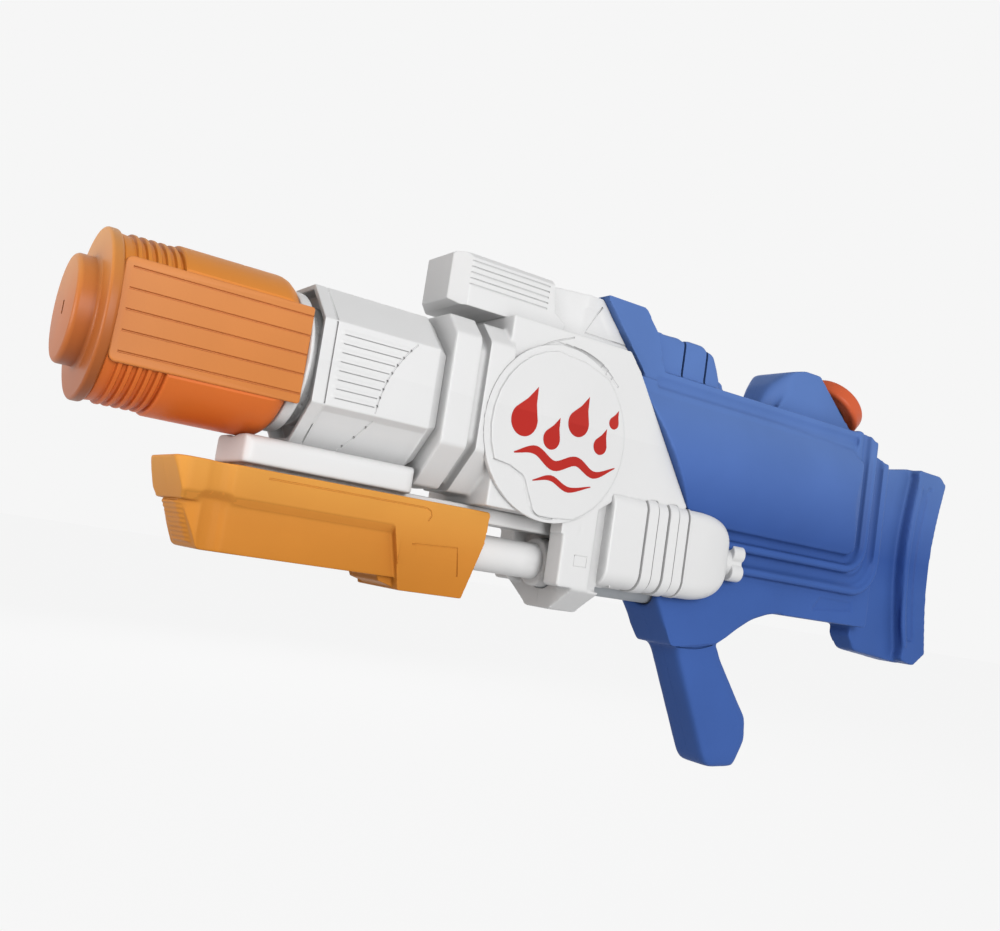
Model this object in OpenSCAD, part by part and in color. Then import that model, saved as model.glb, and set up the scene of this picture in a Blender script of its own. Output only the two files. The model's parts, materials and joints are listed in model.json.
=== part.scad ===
// Large pump-action water squirter, in millimetres.
// X runs from the nozzle mouth (0) to the butt, Y to the right side, Z up.
// The origin is the centre of the nozzle mouth, on the barrel axis.

/* [Barrel] */
// Radius of the nozzle boss
boss_r = 27; // [22:0.5:29]
// Length of the nozzle boss
boss_l = 10.5; // [8:0.5:18]
// Width of the upright slit that the jet leaves by
slit_w = 3; // [2.4:0.1:4]
// Height of the slit
slit_h = 7; // [5:0.5:9]
// Thickness of the wall that the slit is cut in
face_t = 3; // [2:0.5:5]
// Radius of the front flange
flange_r = 43; // [40:0.5:48]
// Thickness of the front flange
flange_t = 6; // [4:0.5:10]
// Outer radius of the barrel sleeve
barrel_r = 43.5; // [41:0.5:48]
// Bore radius of the barrel sleeve
barrel_bore_r = 31; // [29:0.5:32]
// Length from the flange face to the rear of the sleeve
barrel_l = 96.5; // [80:0.5:120]
// Radius that rounds the rear edge of the sleeve
barrel_end_r = 10; // [2:0.5:12]
// Number of ribs behind the flange
rib_count = 5; // [3:1:6]
// Distance from one rib to the next
rib_pitch = 4.6; // [4:0.1:5.5]
// Depth of the grooves between the ribs
rib_depth = 2; // [1:0.1:3]
// Distance from the barrel axis to the face of a side panel
panel_y = 36; // [35:0.5:40]
// Thickness of a side panel
panel_t = 2.5; // [2:0.1:3]
// Height of a side panel
panel_h = 50; // [40:1:52]
// How far a side panel reaches past the sleeve
panel_over = 4.5; // [0:0.5:5]
// Number of lengthwise grooves on a panel
groove_count = 5; // [3:1:7]
// Distance from one panel groove to the next
groove_pitch = 10; // [6:0.5:12]
// Width of the fine grooves
groove_w = 1; // [0.6:0.1:1.6]
// Depth of the fine grooves
groove_d = 0.7; // [0.4:0.1:1.2]
// Radius of the white collar behind the sleeve
collar_r = 38; // [36:0.5:41]
// Length of that collar
collar_l = 7; // [5:0.5:12]
// Open gap between the collar and the shroud
collar_gap = 4; // [2:0.5:8]

/* [Shroud] */
// Length of the eight-sided shroud
shroud_l = 76; // [60:1:100]
// Width across the side flats of the shroud
shroud_w = 70; // [68:1:76]
// Height across the top and bottom flats
shroud_h = 86; // [80:1:92]
// Height of a side flat
shroud_flat_h = 44; // [36:1:52]
// Width of the top flat
shroud_flat_w = 26; // [20:1:34]
// Wall of the shroud
shroud_wall = 3; // [2:0.5:4]
// Length of the front lip
lip_l = 6.5; // [4:0.5:10]
// Length of the chamfered rear end
shroud_taper = 7; // [4:0.5:12]
// Number of fine ribs on a side flat
fine_rib_count = 8; // [4:1:9]
// Distance from one fine rib to the next
fine_rib_pitch = 4.8; // [4:0.1:5]
// Height of a fine rib
fine_rib_h = 0.5; // [0.3:0.1:0.8]

/* [White body] */
// Width across the two ring bands
ring_w = 76; // [74:1:82]
// Length of one ring band
ring_l = 17; // [14:0.5:20]
// Gap between the ring bands
ring_gap = 6; // [4:0.5:9]
// Height of the ring bands above the barrel axis
ring_top = 46; // [44:0.5:50]
// Depth of the ring bands below the barrel axis
ring_bottom = 52; // [48:0.5:54]
// Width of the white body
body_w = 68; // [66:1:72]
// Height of the white body above the barrel axis
body_top = 54; // [51:0.5:56]
// Depth of the white body below the barrel axis
body_bottom = 57; // [54:0.5:57.5]
// Width of the upper fairing
fairing_w = 44; // [40:1:50]
// Height of the upper fairing above the barrel axis
fairing_top = 84; // [80:0.5:92]
// Length of the white body along its top edge
white_top_l = 69; // [60:0.5:80]
// Length of the white body at its widest point
white_low_l = 153; // [140:0.5:165]
// Wall of the white body
white_wall = 4; // [3:0.5:5]
// Length of the top block
block_l = 67; // [56:1:68]
// Width of the top block
block_w = 47; // [40:1:54]
// Height of the top block
block_h = 31; // [22:1:34]
// Radius of a side medallion
medallion_r = 52.5; // [46:0.5:54]
// Thickness of the medallion disc
medallion_t = 3.5; // [2:0.5:5]
// Thickness of the raised plate on it
plate_t = 2.2; // [1:0.1:3]

/* [Pump] */
// Drop of the pump axis below the barrel axis
pump_drop = 83; // [81:0.5:86]
// Outer radius of the pump tube
tube_r = 11; // [9:0.1:11.5]
// Wall of the pump tube
tube_wall = 2.5; // [1.5:0.1:3]
// Outer radius of the gland collar
gland_r = 15; // [14.5:0.1:15.5]
// Length of the gland collar that shows
gland_l = 8; // [8:0.5:12]
// Outer radius of the pump cylinder
cylinder_r = 15.5; // [14.5:0.1:16]
// Bore radius of the pump cylinder
cylinder_bore_r = 12.5; // [12.2:0.1:13]
// Length of the pump cylinder
cylinder_l = 119; // [115:0.5:125]
// Length of the piston
piston_l = 14; // [10:0.5:16]
// Travel of the foregrip towards the nozzle
stroke_out = 60; // [40:1:60]
// Travel of the foregrip towards the body
stroke_in = 25; // [15:1:28]
// Radius of the valve balls
ball_r = 3.4; // [3:0.1:3.6]
// Lift of a valve ball from its seat
ball_lift = 1.5; // [0.8:0.1:1.8]
// Outer radius of the hoses
hose_r = 5; // [4.6:0.1:5.5]
// Bore radius of the hoses
hose_bore_r = 3.4; // [3.2:0.1:3.8]

/* [Foregrip] */
// Length of the foregrip along its rim
foregrip_l = 182; // [160:1:190]
// Width across the rim
foregrip_w = 54; // [50:1:60]
// Width across the lower body
foregrip_low_w = 44; // [38:1:48]
// Height of the rim
rim_h = 21; // [16:0.5:24]
// Rise of the rim's top edge above the pump axis
rim_rise = 23; // [21:0.5:23]
// Depth of the foregrip below the pump axis
foregrip_drop = 21.5; // [17:0.5:24]
// Length of the rear block
rear_block_l = 50; // [40:1:60]
// Depth of the rear block below the pump axis
rear_block_drop = 28; // [24:0.5:32]
// Number of ribs on the nose
nose_rib_count = 9; // [5:1:10]

/* [Pods] */
// Length of the ringed stretch of a side pod
pod_l = 75; // [60:1:85]
// Length of its domed end
pod_dome_l = 31; // [24:1:36]
// Distance from the middle plane to the face of a pod
pod_y = 37; // [34:0.5:42]
// Height of a pod
pod_h = 58; // [50:1:60]
// Radius that rounds the outer edges of a pod
pod_round = 16; // [10:0.5:16]

/* [Rear body] */
// Length from the white body's front to the rear of the first rim
rear_l = 336; // [320:1:350]
// Step from the first rim to the second
rim_step = 20; // [14:0.5:26]
// Length from the second rim to the rear of the butt
butt_l = 87; // [70:1:110]
// Width across the tank bulge
tank_w = 80; // [74:1:84]
// Radius of the tank bulge's side
tank_side_r = 78; // [70:1:100]
// Top of the tank bulge above the barrel axis
tank_top = 35; // [30:0.5:38]
// Bottom of the tank bulge below the barrel axis
tank_bottom = 45; // [40:0.5:46]
// Wall of the shell and of the tank together
tank_wall = 6; // [5:0.5:8]
// Width across the first rim
rim_w = 58; // [56:1:62]
// Width across the second rim
rim2_w = 52; // [48:1:55]
// Width across the lower body
lower_w = 44; // [40:1:47]
// Height of the deck above the barrel axis
deck_z = 50; // [46:0.5:52]
// Width across the deck and the wedge
deck_w = 54; // [50:1:57]
// Height of the wedge above the barrel axis
wedge_top = 86.5; // [84:0.5:94]
// Height of the knuckle humps above the barrel axis
hump_top = 76; // [72:0.5:80]
// Width across the knuckle humps
hump_w = 48; // [42:1:52]
// Depth of the lower body below the barrel axis
lower_bottom = 92.5; // [90:0.5:98]
// Depth of the grip base below the barrel axis
base_bottom = 124; // [118:0.5:130]
// Depth of the grip's end below the barrel axis
grip_bottom = 202; // [190:1:212]
// Width of the grip
grip_w = 31; // [28:0.5:34]
// Top of the butt above the barrel axis
butt_top = 38; // [32:0.5:42]
// Depth of the butt below the barrel axis
butt_bottom = 116; // [108:0.5:124]
// Width of the butt's web
butt_web_w = 19; // [16:1:30]
// Width of the butt's rear plate
butt_w = 38; // [36:1:46]

/* [Filler] */
// Radius of the filler cap
cap_r = 24.5; // [21:0.5:25.5]
// Thickness of the filler cap
cap_t = 13; // [9:0.5:14]
// Tilt of the filler face from level
filler_tilt = 40; // [37:1:43]
// Height of the filler hump above the barrel axis
filler_top = 84; // [81:0.5:87]
// Width across the filler hump
filler_w = 40; // [38:1:46]
// Bore radius of the filler neck
neck_bore_r = 12.6; // [11:0.1:13]
// Wall of the filler neck
neck_wall = 2.4; // [1.8:0.1:2.8]
// Depth of the plug under the cap
plug_l = 3.5; // [2:0.5:4]
// Radius of the cap's hinge pin
hinge_pin_r = 1.6; // [1.2:0.1:1.8]

/* [Fasteners and fits] */
// Shank radius of the screws
screw_r = 1.5; // [1.2:0.1:1.8]
// Head radius of the screws
screw_head_r = 3; // [2.4:0.1:3.4]
// Length of the screws
screw_l = 20; // [16:1:24]
// Radial clearance of sliding and turning fits
running_gap = 0.06; // [0.03:0.01:0.1]
// Clearance round seated pieces
seat_gap = 0.2; // [0.1:0.05:0.3]
// Clearance of pieces that pass without touching
pass_gap = 0.4; // [0.3:0.05:0.6]

/* [Hidden] */
$fn = 64;
LEFT = -1;
RIGHT = 1;
FAR = 1000;
ORANGE = "#e08a3c";
AMBER = "#e0a04a";
WHITE = "#eeeeee";
BLUE = "#4a6ab0";
RED = "#dd6238";
GREY = "#b8bcc0";
DARK = "#3c3f44";

// Stations along X, from the nozzle to the butt
flange_x = boss_l;
sleeve_x = flange_x + flange_t;
sleeve_end = flange_x + barrel_l;
panel_x = sleeve_x + seat_gap;
shroud_x = sleeve_end + collar_l + collar_gap;
shroud_end = shroud_x + shroud_l;
ring_b_x = shroud_end + ring_l + ring_gap;
body_x = ring_b_x + ring_l;
split_top_x = body_x + white_top_l;
split_low_x = body_x + white_low_l;
rim_end = body_x + rear_l;
rim2_end = rim_end + rim_step;
butt_end = rim2_end + butt_l;

// White and blue meet on this line of three points, seen from the side
split_knee = [split_top_x + 38, 43];
white_knee = split_knee - [10, 0];
split_low = [split_low_x, -38];
split_foot = [split_low_x - 7, -lower_bottom];

// Pump
pump_z = -pump_drop;
cylinder_x = body_x + 67;
cylinder_end = cylinder_x + cylinder_l;
gland_x = cylinder_x - gland_l;
spigot_l = 6;
piston_rest = cylinder_end - spigot_l - 3 - stroke_in - piston_l;
foregrip_end = body_x + 6.5;
foregrip_x = foregrip_end - foregrip_l;
tube_x = foregrip_x + 26;
fairing_x = body_x + 32;
medallion_mid = [body_x + 38.5, -8];
bracket_x = cylinder_x;
bracket_end = bracket_x + 21;
rail_bar_bottom = pump_z + tube_r + 6;
rail_bar_top = -body_bottom - 1;
rail_w = 26;
duct_z = pump_z + cylinder_r + hose_r + 1.5;
duct_r = 9;

// Pods
pod_x = bracket_end;
pod_end = pod_x + pod_l;
pod_z = -63;
pod_in_y = 20;
plug_x = pod_end + pod_dome_l;
plug_y = 21;
plug_z = pod_z;
plug_lobe_r = 6.4;
plug_lobe_off = 8.6;
plug_knob_l = 15;
pod_band = 0.9;
pod_bands = [[30, 37], [47, 54], [61, 63]];

// Filler: middle of the slanted face, on the middle plane
filler_mid = [rim_end - 29, 0, 59.5];
neck_r = neck_bore_r + neck_wall;
cap_lift = 5;
hinge_at = [-cap_r - 4.5, cap_lift + 3];
hinge_half_w = 4;
ear_t = 3.5;
neck_l = 62;
plug_r = neck_bore_r - 0.5;
gasket_t = 1.4;

// Barb that a hose is pushed on
barb_r = hose_bore_r - seat_gap;
barb_bore_r = 2;
barb_l = 14;
tip_r = 6;
tip_end = 22;

function unit(v) = v / norm(v);
function flat2(p) = [p[0], p[1]];

// Arc that rounds the corner at b, between a and c
function corner(a, b, c, r, n = 6) =
    let (u = unit(a - b), v = unit(c - b), half = acos(u * v) / 2, mid = b + unit(u + v) * r / sin(half),
        from = b + u * r / tan(half) - mid, to = b + v * r / tan(half) - mid)
    [for (i = [0:n]) mid + r * unit(from * (n - i) + to * i)];

// Outline with rounded corners, from points [x, y] or [x, y, radius]
function outline(pts) =
    let (n = len(pts))
    [for (i = [0:n - 1])
        each (len(pts[i]) < 3 ? [pts[i]]
            : corner(flat2(pts[(i + n - 1) % n]), flat2(pts[i]), flat2(pts[(i + 1) % n]), pts[i][2]))];

// Outline in X and Z, extruded from y0 to y1
module side(pts, y0, y1) {
    translate([0, y1, 0]) rotate([90, 0, 0]) linear_extrude(y1 - y0) polygon(outline(pts));
}

// The same, as wide as w about the middle plane
module slab(pts, w) {
    side(pts, -w / 2, w / 2);
}

// Outline in Y and Z, extruded from x0 to x1
module bar(pts, x0, x1) {
    translate([x0, 0, 0]) rotate([90, 0, 90]) linear_extrude(x1 - x0) polygon(outline(pts));
}

// Outline in X and Y, extruded from z0 to z1
module plan(pts, z0, z1) {
    translate([0, 0, z0]) linear_extrude(z1 - z0) polygon(outline(pts));
}

// Profile of [radius, x] points turned about an axis along X at height z
module turned(pts, z = 0) {
    translate([0, 0, z]) rotate([0, 90, 0]) rotate_extrude($fn = 96) polygon(outline(pts));
}

// Cylinder along X
module rod(r, x0, x1, z = 0, y = 0) {
    translate([x0, y, z]) rotate([0, 90, 0]) cylinder(r = r, h = x1 - x0);
}

// Cylinder along Y
module cross(r, x, z, y0, y1) {
    translate([x, y1, z]) rotate([90, 0, 0]) cylinder(r = r, h = y1 - y0);
}

// Box from two corners
module block(a, b) {
    translate(a) cube(b - a);
}

// Keeps one side of the middle plane
module half(hand) {
    intersection() {
        children();
        translate([-FAR, hand < 0 ? -FAR : 0, -FAR]) cube([2 * FAR, FAR, 2 * FAR]);
    }
}

// Moves its children to the filler's slanted face, with z square to it and x down the slope
module at_filler() {
    translate(filler_mid) rotate([0, filler_tilt, 0]) children();
}

// Eight-sided section, d smaller all round
function oct(d = 0) =
    let (w = shroud_w / 2 - d, h = shroud_h / 2 - d, bevel = d * 0.4)
    let (fh = shroud_flat_h / 2 - bevel, fw = shroud_flat_w / 2 - bevel)
    [[w, fh], [fw, h], [-fw, h], [-w, fh], [-w, -fh], [-fw, -h], [fw, -h], [w, -fh]];

// Section of the ring bands, d smaller all round
function ring_section(d = 0) =
    let (w = ring_w / 2 - d, top = ring_top - d, low = d - ring_bottom, cut = 12, low_cut = 24)
    [[w, top - cut, 4], [w - cut, top, 4], [cut - w, top, 4], [-w, top - cut, 4],
        [-w, low + low_cut, 4], [low_cut - w, low, 4], [w - low_cut, low, 4], [w, low + low_cut, 4]];

// Bar that changes from section a at x0 to section b at x1, with equal counts of points
module taper(a, b, x0, x1) {
    n = len(a);
    polyhedron(
        points = concat([for (p = a) [x0, p[0], p[1]]], [for (p = b) [x1, p[0], p[1]]]),
        faces = concat([[for (i = [0:n - 1]) i]], [[for (i = [n - 1:-1:0]) n + i]],
            [for (i = [0:n - 1]) each [[i, n + i, (i + 1) % n], [(i + 1) % n, n + i, n + (i + 1) % n]]]));
}

// Hose along a path in the middle plane, from points [x, z]
function ring_at(path, i, r, sides = 12) =
    let (last = len(path) - 1, t = unit(path[min(i + 1, last)] - path[max(i - 1, 0)]))
    [for (k = [0:sides - 1]) let (a = 360 * k / sides)
        [path[i][0] - t[1] * r * sin(a), r * cos(a), path[i][1] + t[0] * r * sin(a)]];

module hose(path, sides = 12) {
    n = len(path);
    points = concat([for (i = [0:n - 1]) each ring_at(path, i, hose_r)],
        [for (i = [0:n - 1]) each ring_at(path, i, hose_bore_r)]);
    bore = n * sides;
    wall = [for (i = [0:n - 2], k = [0:sides - 1]) let (a = i * sides + k, b = i * sides + (k + 1) % sides)
        each [[a, b, a + sides], [b, b + sides, a + sides]]];
    last = (n - 1) * sides;
    ends = [for (k = [0:sides - 1]) let (a = k, b = (k + 1) % sides, c = a + last, d = b + last)
        each [[a, bore + a, b], [b, bore + a, bore + b], [c, d, bore + c], [d, bore + d, bore + c]]];
    polyhedron(points = points,
        faces = concat(wall, [for (f = wall) [bore + f[0], bore + f[2], bore + f[1]]], ends));
}

// Path that eases from one height to another between two stations
function ease_path(x0, x1, z0, z1, lead, tail, n) =
    concat([[x0 - lead, z0]],
        [for (i = [0:n]) [x0 + (x1 - x0) * i / n, z0 + (z1 - z0) * (1 - cos(180 * i / n)) / 2]],
        [[x1 + tail, z1]]);

// Barrel

module nozzle_cap() {
    edge = 1.4;
    spigot_r = barrel_bore_r - seat_gap;
    spigot_end = sleeve_x + 12;
    wall = 2.5;
    seat_r = tip_r + seat_gap;
    color(ORANGE) difference() {
        turned([[0, 0], [boss_r, 0, edge], [boss_r, boss_l],
            [flange_r, boss_l, edge], [flange_r, sleeve_x, edge],
            [spigot_r, sleeve_x], [spigot_r, spigot_end], [spigot_r - wall, spigot_end],
            [spigot_r - wall, boss_l + wall], [boss_r - wall, boss_l], [boss_r - wall, face_t],
            [seat_r + wall, face_t], [seat_r + wall, tip_end - 4], [seat_r, tip_end - 4], [seat_r, face_t],
            [0, face_t]]);
        block([-1, -slit_w / 2, -slit_h / 2], [face_t + 1, slit_w / 2, slit_h / 2]);
    }
}

module nozzle_tip() {
    color(GREY) turned([[slit_w / 2, face_t], [tip_r, face_t], [tip_r, tip_end], [barb_r, tip_end],
        [barb_r, tip_end + barb_l], [slit_w / 2, tip_end + barb_l]]);
}

// Sleeve with its ribs, bead and smooth stretch, and a flat on each side for the panel
module barrel_sleeve(hand) {
    root = barrel_r - 1 - rib_depth;
    rib_x = sleeve_x + 5;
    bead_x = rib_x + rib_count * rib_pitch;
    crest = root + rib_depth - 0.6;
    ribs = [for (i = [0:rib_count - 1]) let (x = rib_x + i * rib_pitch)
        each [[root, x + 0.6], [crest, x + 1.1], [crest, x + 3], [root, x + 3.5]]];
    color(ORANGE) half(hand) difference() {
        turned(concat([[barrel_bore_r, sleeve_x], [flange_r - 1.4, sleeve_x]], ribs,
            [[root, bead_x], [barrel_r, bead_x + 1, 1], [barrel_r, sleeve_end, barrel_end_r],
                [barrel_bore_r, sleeve_end]]));
        panel_seats(sleeve_x - 1, sleeve_end + 1);
    }
}

module barrel_panel(hand) {
    x1 = sleeve_end + panel_over;
    inner = panel_y - panel_t;
    z = panel_h / 2;
    color(ORANGE) mirror([0, hand > 0 ? 1 : 0, 0]) difference() {
        side([[panel_x, z, 4], [x1, z, 1], [x1, -z, 1], [panel_x, -z, 4]], -panel_y, -inner);
        for (i = [0:groove_count - 1])
            translate([0, 0, (i - (groove_count - 1) / 2) * groove_pitch])
                block([panel_x + 3, -panel_y - 1, -groove_w / 2], [x1 + 1, groove_d - panel_y, groove_w / 2]);
    }
}

// Cuts away what stands out past the seats of the side panels
module panel_seats(x0, x1) {
    seat_y = panel_y - panel_t;
    for (s = [LEFT, RIGHT])
        block([x0, s < 0 ? -FAR : seat_y, -FAR], [x1, s < 0 ? -seat_y : FAR, FAR]);
}

module barrel_collar() {
    spigot_r = barrel_bore_r - seat_gap;
    tail_r = spigot_r - 2;
    bore = tail_r - 3;
    front = sleeve_end - 14;
    rear = shroud_x + 14;
    neck_end = sleeve_end + collar_l;
    color(WHITE) difference() {
        turned([[bore, front], [spigot_r, front], [spigot_r, sleeve_end], [collar_r, sleeve_end],
            [collar_r, neck_end, 1.5], [tail_r, neck_end], [tail_r, rear], [bore, rear]]);
        panel_seats(sleeve_end - 1, sleeve_end + panel_over);
    }
}

// Shroud

module shroud(hand) {
    tail_r = barrel_bore_r - seat_gap - 2;
    rear_x = shroud_end - shroud_taper;
    lip_groove = 1;
    arc_r = 65;
    arc_at = [shroud_x + 101, -25];
    color(WHITE) half(hand) {
        difference() {
            union() {
                bar(oct(), shroud_x, shroud_x + lip_l);
                bar(oct(0.8), shroud_x + lip_l, shroud_x + lip_l + lip_groove);
                bar(oct(), shroud_x + lip_l + lip_groove, rear_x);
                taper(oct(), oct(shroud_taper * 0.7), rear_x, shroud_end);
            }
            bar(oct(shroud_wall), shroud_x - 1, shroud_x + 8);
            rod(tail_r + seat_gap, shroud_x + 7, shroud_x + 13);
            bar(oct(shroud_wall), shroud_x + 12, rear_x - 4);
            rod(tail_r - 4, rear_x - 5, shroud_end + 1);
        }
        for (s = [LEFT, RIGHT])
            fine_ribs(s, rear_x, arc_at, arc_r);
    }
}

// Fine ribs on a side flat, which end on an arc
module fine_ribs(s, rear_x, arc_at, arc_r) {
    y = shroud_w / 2;
    difference() {
        for (i = [0:fine_rib_count - 1])
            translate([0, 0, (i - (fine_rib_count - 1) / 2) * fine_rib_pitch])
                block([shroud_x + lip_l + 4, s < 0 ? -y - fine_rib_h : y - 1, -0.7],
                    [rear_x, s < 0 ? 1 - y : y + fine_rib_h, 0.7]);
        cross(arc_r, arc_at[0], arc_at[1], -FAR, FAR);
    }
}

// White body

module front_shell_solid() {
    bar(ring_section(), shroud_end, shroud_end + ring_l);
    bar(ring_section(5), shroud_end + ring_l - 1, ring_b_x + 1);
    bar(ring_section(), ring_b_x, ring_b_x + ring_l);
    slab([[body_x - 2, -body_bottom], [body_x - 2, body_top], white_knee + [-10, body_top - white_knee[1]],
        white_knee, split_low, [split_low_x - 2, -body_bottom]], body_w);
    fairing();
    bracket();
}

// Upper fairing, which widens from the top block towards the blue wedge, grown by g
module fairing(g = 0) {
    front = fairing_x - g;
    w = fairing_w / 2 + g;
    nose = 14 + g;
    intersection() {
        slab([[front, body_top - white_wall], [front, fairing_top, 3], [split_top_x, fairing_top],
            split_knee], 2 * w);
        plan([[front, -nose], [front + 26, -w], [FAR, -w], [FAR, w], [front + 26, w], [front, nose]],
            0, 2 * fairing_top);
    }
}

// Bracket that holds the pump, its cheeks, and the web between the pods
module bracket() {
    w = body_w / 2;
    low = pump_z - cylinder_r;
    bar([[w, 1 - body_bottom], [-w, 1 - body_bottom], [-w, low + 2, 3], [-12, low - 12, 3], [12, low - 12, 3],
        [w, low + 2, 3]], bracket_x, bracket_end);
    for (s = [LEFT, RIGHT])
        side([[bracket_x - 12, pump_z + 20, 2], [bracket_x + 4, pump_z + 20], [bracket_x + 4, pump_z - 13],
            [bracket_x - 12, pump_z - 13, 2]], s < 0 ? -w : w - 15, s < 0 ? 15 - w : w);
    slab([[bracket_end - 1, 1 - body_bottom], [split_low_x - 3, 1 - body_bottom], split_foot,
        [bracket_end - 1, -lower_bottom]], 2 * pod_in_y);
}

// Room inside the white shell for the hose, the pump and the collar's tail
module front_shell_room() {
    w = body_w / 2 - white_wall;
    bar(ring_section(white_wall + 5), shroud_end + 3, ring_b_x + ring_l + 4);
    floor_z = white_wall - body_bottom;
    step_x = body_x + 60;
    slab([[body_x, floor_z + 8], [body_x, body_top - white_wall], white_knee - [12, 0], split_low - [10, 0],
        [split_low_x - 12, floor_z], [step_x, floor_z], [step_x, floor_z + 8]], 2 * w);
    rod(barrel_bore_r - 8, shroud_end - 1, shroud_end + 4);
    rod(cylinder_r + seat_gap, bracket_x - 1, split_low_x + 5, pump_z);
    block([bracket_end - 9, -duct_r, duct_z - duct_r + 2.5], [split_low_x + 5, duct_r, 5 - body_bottom]);
}

front_screws = [[body_x + 20, 36, body_w / 2], [body_x + 114, -12, body_w / 2],
    [split_top_x + 8, 66, fairing_w / 2]];

module front_shell(hand) {
    color(WHITE) half(hand) difference() {
        union() {
            difference() {
                front_shell_solid();
                front_shell_room();
            }
            for (s = front_screws)
                cross(screw_head_r + 2, s[0], s[1], 1 - s[2], s[2] - 1);
        }
        screws(front_screws, pass_gap / 2);
        for (s = [LEFT, RIGHT]) {
            cross(medallion_r + seat_gap, medallion_mid[0], medallion_mid[1],
                s < 0 ? -FAR : body_w / 2, s < 0 ? -body_w / 2 : FAR, $fn = 128);
            panel_face = fairing_w / 2 - groove_d;
            side(fairing_panel, s < 0 ? -FAR : panel_face, s < 0 ? -panel_face : FAR);
            mirror([0, s > 0 ? 1 : 0, 0]) pod_form(seat_gap);
        }
    }
}

// Screws along Y, from points [x, z, half width of the shell there], larger by gap
module screws(list, gap) {
    for (s = list) {
        sink = s[2] - 2;
        cross(screw_r + gap, s[0], s[1], sink - screw_l - gap, sink - 2);
        cross(screw_head_r + gap, s[0], s[1], sink - 2, gap > 0 ? s[2] + 9 : sink);
    }
}

// Shallow panel on the side of the fairing
fairing_panel = [[fairing_x + 25, fairing_top - 8], [fairing_x + 35, fairing_top - 8],
    [fairing_x + 50, body_top + 4], [fairing_x + 18, body_top + 4]];

// Block on the neck, grooved on both sides, whose toe reaches back round the fairing
module top_block() {
    x0 = body_x - 37.5;
    x1 = x0 + block_l;
    top = body_top + block_h;
    w = block_w / 2;
    nose = 9;
    edge = 3;
    color(WHITE) difference() {
        intersection() {
            slab([[x0, body_top + 3, 1], [x0 + 6, body_top], [x1 + 9, body_top], [x1 + 12, body_top + 6],
                [x1 + 3, body_top + 12], [x1, top, 1], [x0, top, 2]], block_w);
            plan([[x0, nose - w], [x0 + nose, -w], [FAR, -w], [FAR, w], [x0 + nose, w], [x0, w - nose]],
                0, FAR);
            bar([[-w, body_top], [-w, top - edge], [edge - w, top], [w - edge, top], [w, top - edge],
                [w, body_top]], 0, FAR);
        }
        for (s = [LEFT, RIGHT], i = [0:4])
            translate([0, s * w, top - 5 - 3.4 * i])
                block([x0 + nose + 1, -groove_d, -groove_w / 2], [x1 - 3, groove_d, groove_w / 2]);
        fairing(seat_gap);
    }
}

// Medallion: a disc with a raised plate whose lower left edge runs in a wave

module medallion(hand) {
    mid = medallion_mid;
    r = medallion_r;
    inner = body_w / 2;
    face = inner + medallion_t;
    rim = r - 4;
    left_arc = [for (a = [100:12:208]) mid + rim * [cos(a), sin(a)]];
    wave = [for (p = [[-32, -24, 8], [-20, -28.5, 9], [-15.5, -38, 9], [-9, -49.5, 7], [2, -49.5, 8]])
        [mid[0] + p[0], mid[1] + p[1], p[2]]];
    right_arc = [for (a = [292:10:412]) mid + (r - 1) * [cos(a), sin(a)]];
    color(WHITE) mirror([0, hand > 0 ? 1 : 0, 0]) {
        intersection() {
            cross(r, mid[0], mid[1], -face, -inner, $fn = 128);
            lean(face, inner + 0.4);
        }
        intersection() {
            side(concat(left_arc, wave, right_arc, [[mid[0] + 14, mid[1] + 46, 20]]), -FAR, -inner);
            lean(face + plate_t, inner + 0.8);
        }
    }
}

// Room in front of a face that leans in from y0 at the medallion's front to y1 at its rear
module lean(y0, y1) {
    x0 = medallion_mid[0] - medallion_r;
    x1 = medallion_mid[0] + medallion_r;
    plan([[x0, -y0], [x1, -y1], [x1, 0], [x0, 0]], -FAR, FAR);
}

// Slide rail: a rounded housing under the shroud, and a guide bar that runs back to the bracket
module slide_rail() {
    x0 = shroud_x - 26;
    x1 = shroud_end - 3;
    w = 24;
    top = -shroud_h / 2;
    color(WHITE) difference() {
        union() {
            intersection() {
                bar([[w, rail_bar_top, 1], [w, top, 5], [-w, top, 5], [-w, rail_bar_top, 1]], x0, x1);
                plan([[x0, -w, 4], [x1, -w, 6], [x1, w, 6], [x0, w, 4]], -FAR, 0);
            }
            block([x0 + 8, -rail_w / 2, rail_bar_bottom], [bracket_x, rail_w / 2, -body_bottom]);
        }
        rod(barrel_r + pass_gap, 0, sleeve_end + pass_gap);
        rod(collar_r + pass_gap, sleeve_end - 1, shroud_x);
    }
}

// Pods: section with round outer edges, ring bands, and a domed end

function pod_section(d = 0, shrink = 0) =
    let (y0 = pod_in_y, y1 = pod_y + d - shrink * 0.4, h = pod_h / 2 + d - shrink)
    let (z0 = pod_z - h, z1 = pod_z + h)
    outline([[-y0, z1], [-y1, z1, pod_round * 0.55], [-y1, z0, pod_round * 0.65], [-y0, z0]]);

module pod_left_form(grow = 0) {
    dome_end = pod_end + pod_dome_l;
    bar(pod_section(grow), pod_x, pod_end + 0.1);
    mid = pod_end + pod_dome_l * 0.6;
    taper(pod_section(grow), pod_section(grow, 4), pod_end, mid);
    taper(pod_section(grow, 4), pod_section(grow, 13), mid, dome_end);
}

// The left pod with its ring bands, grown by g
module pod_form(g = 0) {
    pod_left_form(g);
    for (b = pod_bands)
        bar(pod_section(pod_band + g), pod_x + b[0] - g, pod_x + b[1] + g);
}

module pod(hand) {
    wall = 3;
    color(WHITE) mirror([0, hand > 0 ? 1 : 0, 0]) difference() {
        pod_form();
        bar(pod_section(-wall), pod_x + wall, pod_end);
    }
}

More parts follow.
